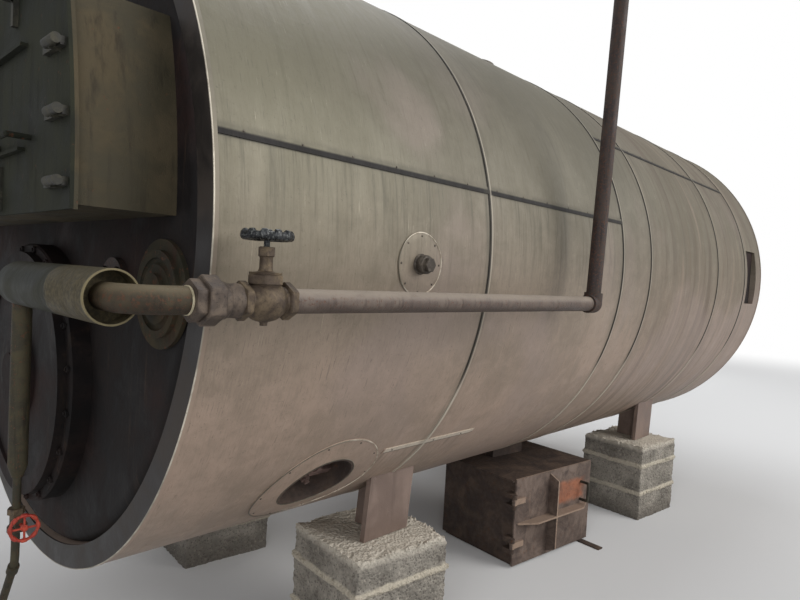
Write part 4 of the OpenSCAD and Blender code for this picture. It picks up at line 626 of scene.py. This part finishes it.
def pierShape(p, k, x, side, seed):
    # rings of a rounded rectangle, up the sides and then inwards over the top:
    # c = clip(q, half - r) and P = c + r (q - c) / |q - c| for each point q of the sharp rectangle
    half = np.array((p["length"], p["width"])) / 2
    z = np.arange(0, p["top"] - k["short"], p["step"])
    bead = sum(np.exp(-((z - joint) / k["beadHalf"]) ** 2) for joint in p["joints"])
    rounded = np.clip((z - p["top"] + k["roundFrom"]) / k["roundOver"], 0, 1) ** 2
    inset = k["behind"] * (1 - bead) + k["roundBy"] * rounded
    over = np.arange(k["roundFrom"], half.min() - k["short"], p["step"])
    inset = np.concatenate((inset, over))
    z = np.concatenate((z, np.full(len(over), p["top"])))
    bead = np.concatenate((bead, 0 * over))[:, None]
    s = np.linspace(0, 4, 4 * p["across"], endpoint=False)
    edge, part = s.astype(int), 2 * (s % 1) - 1
    one = 1 + 0 * s
    q = np.stack((np.choose(edge, (part, one, -part, -one)), np.choose(edge, (-one, part, one, -part))), -1)
    q = q * (half - inset[:, None, None])
    r = np.minimum(p["corner"], (half.min() - inset) * 0.8)[:, None, None]
    inner = half - inset[:, None, None] - r
    c = np.clip(q, -inner, inner)
    out = (q - c) / np.maximum(np.linalg.norm(q - c, axis=-1, keepdims=True), 1e-9)
    points = np.concatenate((c + r * out, np.broadcast_to(z[:, None, None], c.shape[:2] + (1,))), -1)
    rough = grains(points, seed, k["grains"], 0.5)
    lump = patches(points, seed, k["lumps"]) * bead
    chip = patches(points, seed, k["bigChips"]) + patches(points, seed, k["smallChips"]) * k["smallShare"]
    broken = np.clip((points[..., 2] - k["brokenFrom"]) / k["brokenOver"], 0, 1) * chip
    onTop = (np.arange(len(z)) >= len(z) - len(over))[:, None]
    sink = k["rough"] * rough * (1 - 0.7 * bead) + k["broken"] * broken + k["lump"] * lump
    points[..., :2] -= out * np.where(onTop, 0.0, sink)[..., None]
    rim = np.clip(1 - (inset[:, None] - k["rimFrom"]) / k["rimOver"], 0, 1)
    worn = k["topBroken"] * broken * rim + k["topRough"] * rough
    points[..., 2] -= np.where(onTop, worn, k["drop"] * broken)
    points[..., 2] += bead * grains(points, seed, k["waves"])
    turn = math.radians(p["turn"])
    flat = points[..., :2] @ np.array(((math.cos(turn), math.sin(turn)), (-math.sin(turn), math.cos(turn))))
    middle = fromFront(x * 1000, side * (p["legY"] + p["toe"] - p["width"] / 2) * 1000, 0)
    return skin(np.concatenate((flat + middle[:2], np.clip(points[..., 2:], 0, p["top"])), -1))


# crumbs of mortar and broken block: how many a pier, their half sizes, and the lines that they gather on,
# each by its way up the side and over the top, with its share
crumbs = {"count": 320, "sizes": (0.003, 0.0085), "spread": 0.010, "seed": 7,
          "lines": ((0.185, 0.5), (0.375, 0.6), (0.508, 1.0))}


def crumbShape(p, c, shape, draw):
    # lumps R S p on points of the pier's own skin, with R a random turn and S random sizes
    lump = turned(((0.35, -0.8), (0.95, -0.35), (1, 0.35), (0.4, 0.85)), 6)
    rings = shape[0].reshape(-1, 4 * p["across"], 3)
    way = np.arange(len(rings)) * p["step"]
    weight = sum(share * np.exp(-((way - at) / c["spread"]) ** 2) for at, share in c["lines"])
    row = draw.choice(len(rings), c["count"], p=weight / weight.sum())
    places = rings[row, draw.integers(rings.shape[1], size=c["count"])]
    turns = np.linalg.qr(draw.normal(size=(c["count"], 3, 3)))[0]
    turns *= np.sign(np.linalg.det(turns))[:, None, None]
    size = draw.uniform(*c["sizes"], (c["count"], 1, 1)) * draw.uniform(0.6, 1.0, (c["count"], 1, 3))
    return copied(lump, (turns * size, places))


draw = np.random.default_rng(crumbs["seed"])
for name, node, x, seed in (("frontPiers", "front_piers", pier["frontX"], 2.0),
                            ("rearPiers", "rear_piers", pier["rearX"], 5.0)):
    pair = [pierShape(pier, pierSkin, x, -1, seed), pierShape(pier, pierSkin, x, 1, seed + 1)]
    addPiece(name, joined(*pair), "concrete", replaces=(node,), creased=60)
    addPiece(name[:-1] + "Crumbs", joined(*(crumbShape(pier, crumbs, shape, draw) for shape in pair)),
             "concrete", creased=20)
print("piers made")

# the side line's fittings, millimetres: their places behind the front rim, and their stations along or up
line = {"y": -1298, "z": 1528, "union": -123, "valve": -7, "middle": 63, "wheel": 1676}
stations = {
    "union": ((0, 38.5, 1), (0.1, 40, 1), (2, 41, 1), (23.5, 41, 1), (25, 40, 1), (25.2, 47, 1),
              (27.5, 49, 1), (61.5, 49, 1), (64, 47, 1), (64.2, 41, 0), (79, 41, 0), (81.5, 39.5, 0),
              (82, 38.4, 0), (84, 37, 0), (88, 36.6, 0), (92, 37.6, 0), (110, 39, 0), (116, 38.4, 0)),
    "valve": ((0, 37.5, 1), (1.5, 40, 1), (17.5, 40, 1), (20, 37.5, 0.9), (22, 34, 0.2), (27, 33.4, 0),
              (33, 36.5, 0), (41, 42.5, 0), (50, 46.4, 0), (60, 47.9, 0), (70, 48, 0), (80, 47.9, 0),
              (90, 46.4, 0), (99, 42.5, 0), (107, 36.5, 0), (113, 33.4, 0), (118, 34, 0.2),
              (120, 37.5, 0.9), (122.5, 40, 1), (138.5, 40, 1), (140, 37.5, 1)),
    "seat": ((0, 40, 0), (26, 38.4, 0), (32, 35.5, 0), (36, 37, 0), (38, 37.6, 0)),
    "bonnet": ((38, 36, 1), (39.5, 38, 1), (58.5, 38, 1), (60, 36.5, 1), (60.2, 37, 0), (65, 38, 0),
               (66, 36.5, 0), (66.6, 22, 0), (69, 17.5, 0), (74, 15.4, 0), (98, 15, 0), (101.6, 16, 0.5),
               (102, 17, 1), (103.2, 18, 1), (122.5, 18, 1), (124, 16.5, 1)),
    "plug": ((-57, 7, 1), (-56, 8.5, 1), (-50, 8.5, 1), (-49.5, 10, 0), (-40, 10, 0))}


def onLine(name, x, upright=False):
    # a fitting of the line, lying along it or standing up from it
    shape = fitting(np.array(stations[name]) * (0.001, 0.001, 1))
    ahead, side = ((0, 0, 1), (1, 0, 0)) if upright else ((1, 0, 0), (0, 0, -1))
    return copied(shape, standing(fromFront(x, line["y"], line["z"]), ahead, side))


valveShape = joined(onLine("valve", line["valve"]), onLine("seat", line["middle"], True),
                    onLine("plug", line["middle"], True))
addPiece("unionNut", onLine("union", line["union"]), "union", replaces=("pipe_union",))
addPiece("stopValve", valveShape, "bronze", replaces=("valve_body",))
addPiece("valveBonnet", onLine("bonnet", line["middle"], True), "bronze",
         replaces=("valve_bonnet",))


def knobRing(w):
    # tall rim with knobs k = swell / (1 + e^(-8 cos n u)): the point is R + a (1 + k) cos v out towards u,
    # and b (1 + 1.2 k) sin v up, or b sin v down, so that its lower edge stays smooth
    u = np.linspace(0, 2 * np.pi, w["lobes"] * 20, endpoint=False)[:, None]
    v = np.linspace(0, 2 * np.pi, 20, endpoint=False)
    k = w["swell"] / (1 + np.exp(-8 * np.cos(w["lobes"] * u)))
    out = w["r"] + w["rim"] / 2 * (1 + k) * np.cos(v)
    up = w["tall"] / 2 * np.where(np.sin(v) > 0, 1 + 1.2 * k, 1) * np.sin(v)
    return skin(np.stack((out * np.cos(u), out * np.sin(u), up), -1)[::-1], True)


def wheelShape(w):
    # knobbed rim, arched spokes, hub with its nut, and the stem that runs down into the gland
    h = w["hub"]
    t = np.linspace(0, 1, 9)
    path = np.stack((h * 0.5 + t * (w["r"] - h * 0.5), 0 * t, w["arch"] * np.sin(np.pi * t)), -1)
    turn = 2 * np.pi * np.arange(w["spokes"]) / w["spokes"]
    c, s, zero = np.cos(turn), np.sin(turn), 0 * turn
    turns = np.array(((c, -s, zero), (s, c, zero), (zero, zero, 1 + zero))).transpose(2, 0, 1)
    spokes = copied(swept(path, w["rim"] * 0.36, 10), (turns, np.zeros((w["spokes"], 3))))
    hub = turned(((h * 0.8, -h * 0.62), (h, -h * 0.56), (h, h * 0.48), (h * 0.86, h * 0.56)), 32)
    nut = fitting(((h * 0.56, h * 0.6, 1), (h * 0.6, h * 0.66, 1), (h * 0.92, h * 0.66, 1),
                   (h, h * 0.56, 1)), 36)
    stem = turned(((w["stem"] * 0.9, -w["down"]), (w["stem"], -w["down"] + 0.001), (w["stem"], 0)))
    return joined(knobRing(w), spokes, hub, nut, stem)


stopWheel = {"r": 0.0519, "rim": 0.0132, "tall": 0.0195, "swell": 0.5, "lobes": 11, "spokes": 5,
             "hub": 0.016, "arch": 0.003, "stem": 0.007, "down": 0.087}
drainWheel = {"r": 0.0331, "rim": 0.0082, "tall": 0.009, "swell": 0.42, "lobes": 8, "spokes": 4,
              "hub": 0.009, "arch": 0.002, "stem": 0.0045, "down": 0.052}
drain = {"x": -247, "y": -623, "z": 883, "out": 74}
stopFrame = standing(fromFront(line["middle"], line["y"], line["wheel"]), (0, 0, 1), (1, 0, 0))
drainFrame = standing(fromFront(drain["x"], drain["y"] - drain["out"], drain["z"]), (0, -1, 0), (1, 0, 0))
addPiece("stopValveWheel", copied(wheelShape(stopWheel), stopFrame),
         "blackWheel", "stop_valve_wheel", ("valve_wheel",))
addPiece("drainWheel", copied(wheelShape(drainWheel), drainFrame),
         "redWheel", "drain_valve_wheel", ("drain_wheel",))

# pale ring left on the bend where it enters the union: x in millimetres, the rest in metres
tape = {"x": -129, "r": 0.0302, "sunk": 0.001, "proud": 0.0016, "lean": 0.0003, "wide": 0.0045}
inner, outer = tape["r"] - tape["sunk"], tape["r"] + tape["proud"]
tapeShape = turned(((inner, 0), (outer, tape["lean"]), (outer, tape["wide"]), (inner, tape["wide"])), 48)
tapeFrame = standing(fromFront(tape["x"], line["y"], line["z"]), (1, 0, 0), (0, 0, 1))
addPiece("unionTape", copied(tapeShape, tapeFrame), "tape")
print("line fittings and wheels made")

# small screws, metres: their heads are domes on the sheet, a little above the upper seams' middle (degrees)
screw = {"pitch": 0.18, "above": 0.25,
         "head": ((0.0036, -0.001), (0.0036, 0.0007), (0.0030, 0.0017), (0.0016, 0.0024), (0.0006, 0.0026))}
screwHead = turned(screw["head"], 12)


def onSheet(x, degrees, r):
    # places r from the axis, by the distance behind the front rim and the angle from the crown to the near
    # side, and the directions that face straight out there
    angle = np.radians(degrees)
    zero = 0 * angle
    out = np.stack((zero, -np.sin(angle), np.cos(angle)), -1)
    axis = np.stack((boiler["frontX"] + x + zero, zero + boiler["axisY"], zero + boiler["axisZ"]), -1)
    return axis + out * r, out


def screwRows(seam, degrees):
    rows = []
    for start, end in seam["screws"]:
        x = np.arange(start, end, screw["pitch"])
        places, out = onSheet(x, degrees + 0 * x, boiler["lapR"])
        rows.append(copied(screwHead, standing(places, out, (1, 0, 0))))
    return rows


rows = []
for side in (1, -1):
    for seam in (longSeams["upper"], longSeams["rear"]):
        rows += screwRows(seam, side * (seam["angle"] - screw["above"]))
rows += screwRows(longSeams["lower"], longSeams["lower"]["angle"])
addPiece("seamScrews", joined(*rows), "screw")


def ringOnSheet(x, degrees, ringR, count):
    # a circle wrapped on the cladding: along x0 + a cos t, round the boiler by a sin t / R
    t = np.linspace(0, 2 * np.pi, count, endpoint=False)
    around = np.degrees(ringR * np.sin(t) / boiler["sheetR"])
    return onSheet(x + ringR * np.cos(t), degrees + around, boiler["lapR"])


beads, heads = [], []
for c in covers.values():
    path, out = ringOnSheet(c["x"], c["angle"], c["r"], 96)
    beads.append(swept(path, c["bead"], 8, True, out.mean(0)))
    if c["screws"]:
        places, out = ringOnSheet(c["x"], c["angle"], c["screwR"], c["screws"])
        heads.append(copied(screwHead, standing(places, out, (1, 0, 0))))
addPiece("coverBeads", joined(*beads), "bead")
addPiece("coverScrews", joined(*heads), "screw")

# the inspection cover, metres: rings of the disc by (radius, lift), its stub, and the plug in the stub
stub = {"r": 0.030, "proud": 0.034, "plugAf": 0.042, "plug": 0.015, "fillet": 0.004, "lift": 0.0003,
        "disc": ((0.103, -0.0024), (0.103, -0.0003), (0.1022, 0.0), (0.075, 0.0003), (0.045, 0.0003))}


def coverShape(c, s):
    # rings of the disc, from its edge on the cladding inwards to the stub
    rings = []
    for radius, lift in s["disc"] + ((s["r"] - s["fillet"], s["lift"]),):
        path, out = ringOnSheet(c["x"], c["angle"], radius, 96)
        rings.append(path + out * lift)
    return skin(np.stack(rings))


def stubShape(s):
    # pipe with a fillet at its foot and a rounded mouth, and a hexagon plug with bevelled ends
    r, top, half = s["r"], s["proud"], s["plugAf"] / 2
    pipe = turned(((r + s["fillet"], 0), (r + 0.0036, 0.005), (r, 0.0085), (r, top - 0.003),
                   (r - 0.002, top), (r - 0.006, top + 0.0005)), 48)
    plug = fitting(((top, half - 0.001, 1), (top + 0.001, half, 1), (top + s["plug"] - 0.002, half, 1),
                    (top + s["plug"], half - 0.002, 1)))
    return joined(pipe, plug)


inspection = covers["inspection"]
place, out = onSheet(np.array([inspection["x"]]), np.array([inspection["angle"]]), boiler["sheetR"])
addPiece("inspectionCover", coverShape(inspection, stub), "coverSheet",
         replaces=("inspection_cover",))
addPiece("inspectionPlug", copied(stubShape(stub), standing(place, out[0], (1, 0, 0))),
         "screw")

# hexagon bolts on the dark front, round the feed flange and the furnace mouth: stations in metres, the
# circles in millimetres
bolt = {"stations": ((-0.002, 0.011, 1), (0.007, 0.011, 1), (0.0085, 0.0098, 1), (0.0086, 0.006, 0),
                     (0.013, 0.0058, 0)),
        "circles": ({"x": -18, "y": -623, "z": 1528, "r": 62.5, "count": 4},
                    {"x": -65, "y": 0, "z": 1185, "r": 444, "count": 20})}


def boltCircle(shape, c):
    # bolts that point forwards, at (r cos t, r sin t) across and up
    t = 2 * np.pi * (np.arange(c["count"]) + 0.5) / c["count"]
    offsets = np.stack((0 * t, c["r"] * np.cos(t), c["r"] * np.sin(t)), -1) / 1000
    return copied(shape, standing(fromFront(c["x"], c["y"], c["z"]) + offsets, (-1, 0, 0), (0, 0, 1)))


boltShape = fitting(bolt["stations"], 24)
addPiece("frontBolts", joined(*(boltCircle(boltShape, circle) for circle in bolt["circles"])),
         "darkPlate")
print("small fixings made")

# soft studio: a pale floor that fades to white far away, a bright surround, and four wide lamps
stage = {"rings": (0.5, 2, 5, 9, 14, 22, 40), "sides": 96, "down": 0.0005, "fade": (7, 16),
         "floor": 0.62, "ambient": 0.5, "surround": (0.95, 0.97, 1.0, 1), "white": (1, 1, 1, 1)}


def makeFloor(s):
    # flat disc: rings of growing radius round the boiler's middle
    turn = np.linspace(0, 2 * np.pi, s["sides"], endpoint=False)
    radius = np.array(s["rings"])[::-1, None]
    level = np.full((len(s["rings"]), s["sides"]), -s["down"])
    rings = np.stack((radius * np.cos(turn), radius * np.sin(turn), level), -1)
    points, faces = skin(rings)
    mesh = bpy.data.meshes.new("studioFloor")
    mesh.from_pydata(points.tolist(), [], faces[0].tolist() + faces[1][1:].tolist())
    floor = bpy.data.objects.new("studioFloor", mesh)
    bpy.context.scene.collection.objects.link(floor)
    f = Finish("studioFloor")
    far = (f.x * f.x + f.y * f.y).ramp(s["fade"][0] ** 2, s["fade"][1] ** 2)
    seen = f.node("LightPath", out="Is Camera Ray").above(f.node("LightPath", out="Is Glossy Ray"))
    plain = f.node("BsdfDiffuse", None, {"Color": (s["floor"],) * 3 + (1,), "Roughness": 1.0})
    white = f.node("Emission", None, {"Color": s["white"], "Strength": 1.0})
    shader = f.node("MixShader", None, {0: far * seen, 1: plain, 2: white})
    end = f.tree.nodes.new("ShaderNodeOutputMaterial")
    f.tree.links.new(shader.socket, end.inputs[0])
    mesh.materials.append(f.material)


def makeWorld(s):
    # even light from all round; what the camera sees of it is white
    world = bpy.data.worlds.new("studio")
    bpy.context.scene.world = world
    world.use_nodes = True
    tree = world.node_tree
    tree.nodes.clear()
    path = tree.nodes.new("ShaderNodeLightPath")
    seen = tree.nodes.new("ShaderNodeMath")
    seen.operation = "MAXIMUM"
    tree.links.new(path.outputs["Is Camera Ray"], seen.inputs[0])
    tree.links.new(path.outputs["Is Transmission Ray"], seen.inputs[1])
    lit, white = (tree.nodes.new("ShaderNodeBackground") for k in range(2))
    both = tree.nodes.new("ShaderNodeMixShader")
    lit.inputs[0].default_value = s["surround"]
    lit.inputs[1].default_value = s["ambient"]
    white.inputs[0].default_value = s["white"]
    white.inputs[1].default_value = 1.0
    tree.links.new(seen.outputs[0], both.inputs[0])
    tree.links.new(lit.outputs[0], both.inputs[1])
    tree.links.new(white.outputs[0], both.inputs[2])
    tree.links.new(both.outputs[0], tree.nodes.new("ShaderNodeOutputWorld").inputs[0])


lamps = {
    "keyLamp": {"place": (3.5, -8.5, 6.0), "aim": (-0.3, -0.6, 1.4), "size": 8.0, "power": 700,
                "colour": (1, 0.98, 0.95)},
    "sideLamp": {"place": (-7.5, -4.5, 3.6), "aim": (-1.5, -0.4, 1.2), "size": 5.0, "power": 150,
                 "colour": (1, 1, 1)},
    "crownLamp": {"place": (0.5, 2.0, 9.0), "aim": (0.2, 0.2, 2.0), "size": 6.0, "power": 380,
                  "colour": (0.97, 0.98, 1)},
    "rearLamp": {"place": (8.5, 4.5, 4.0), "aim": (1.5, 0, 1.6), "size": 4.0, "power": 260,
                 "colour": (1, 1, 1)}}


def makeLamps(lamps):
    for name, lamp in lamps.items():
        light = bpy.data.lights.new(name, "AREA")
        light.shape = "DISK"
        light.size, light.energy, light.color = lamp["size"], lamp["power"], lamp["colour"]
        holder = bpy.data.objects.new(name, light)
        holder.location = lamp["place"]
        towards = Vector(lamp["aim"]) - Vector(lamp["place"])
        holder.rotation_euler = towards.to_track_quat("-Z", "Y").to_euler()
        bpy.context.scene.collection.objects.link(holder)


makeFloor(stage)
makeWorld(stage)
makeLamps(lamps)
print("stage set")
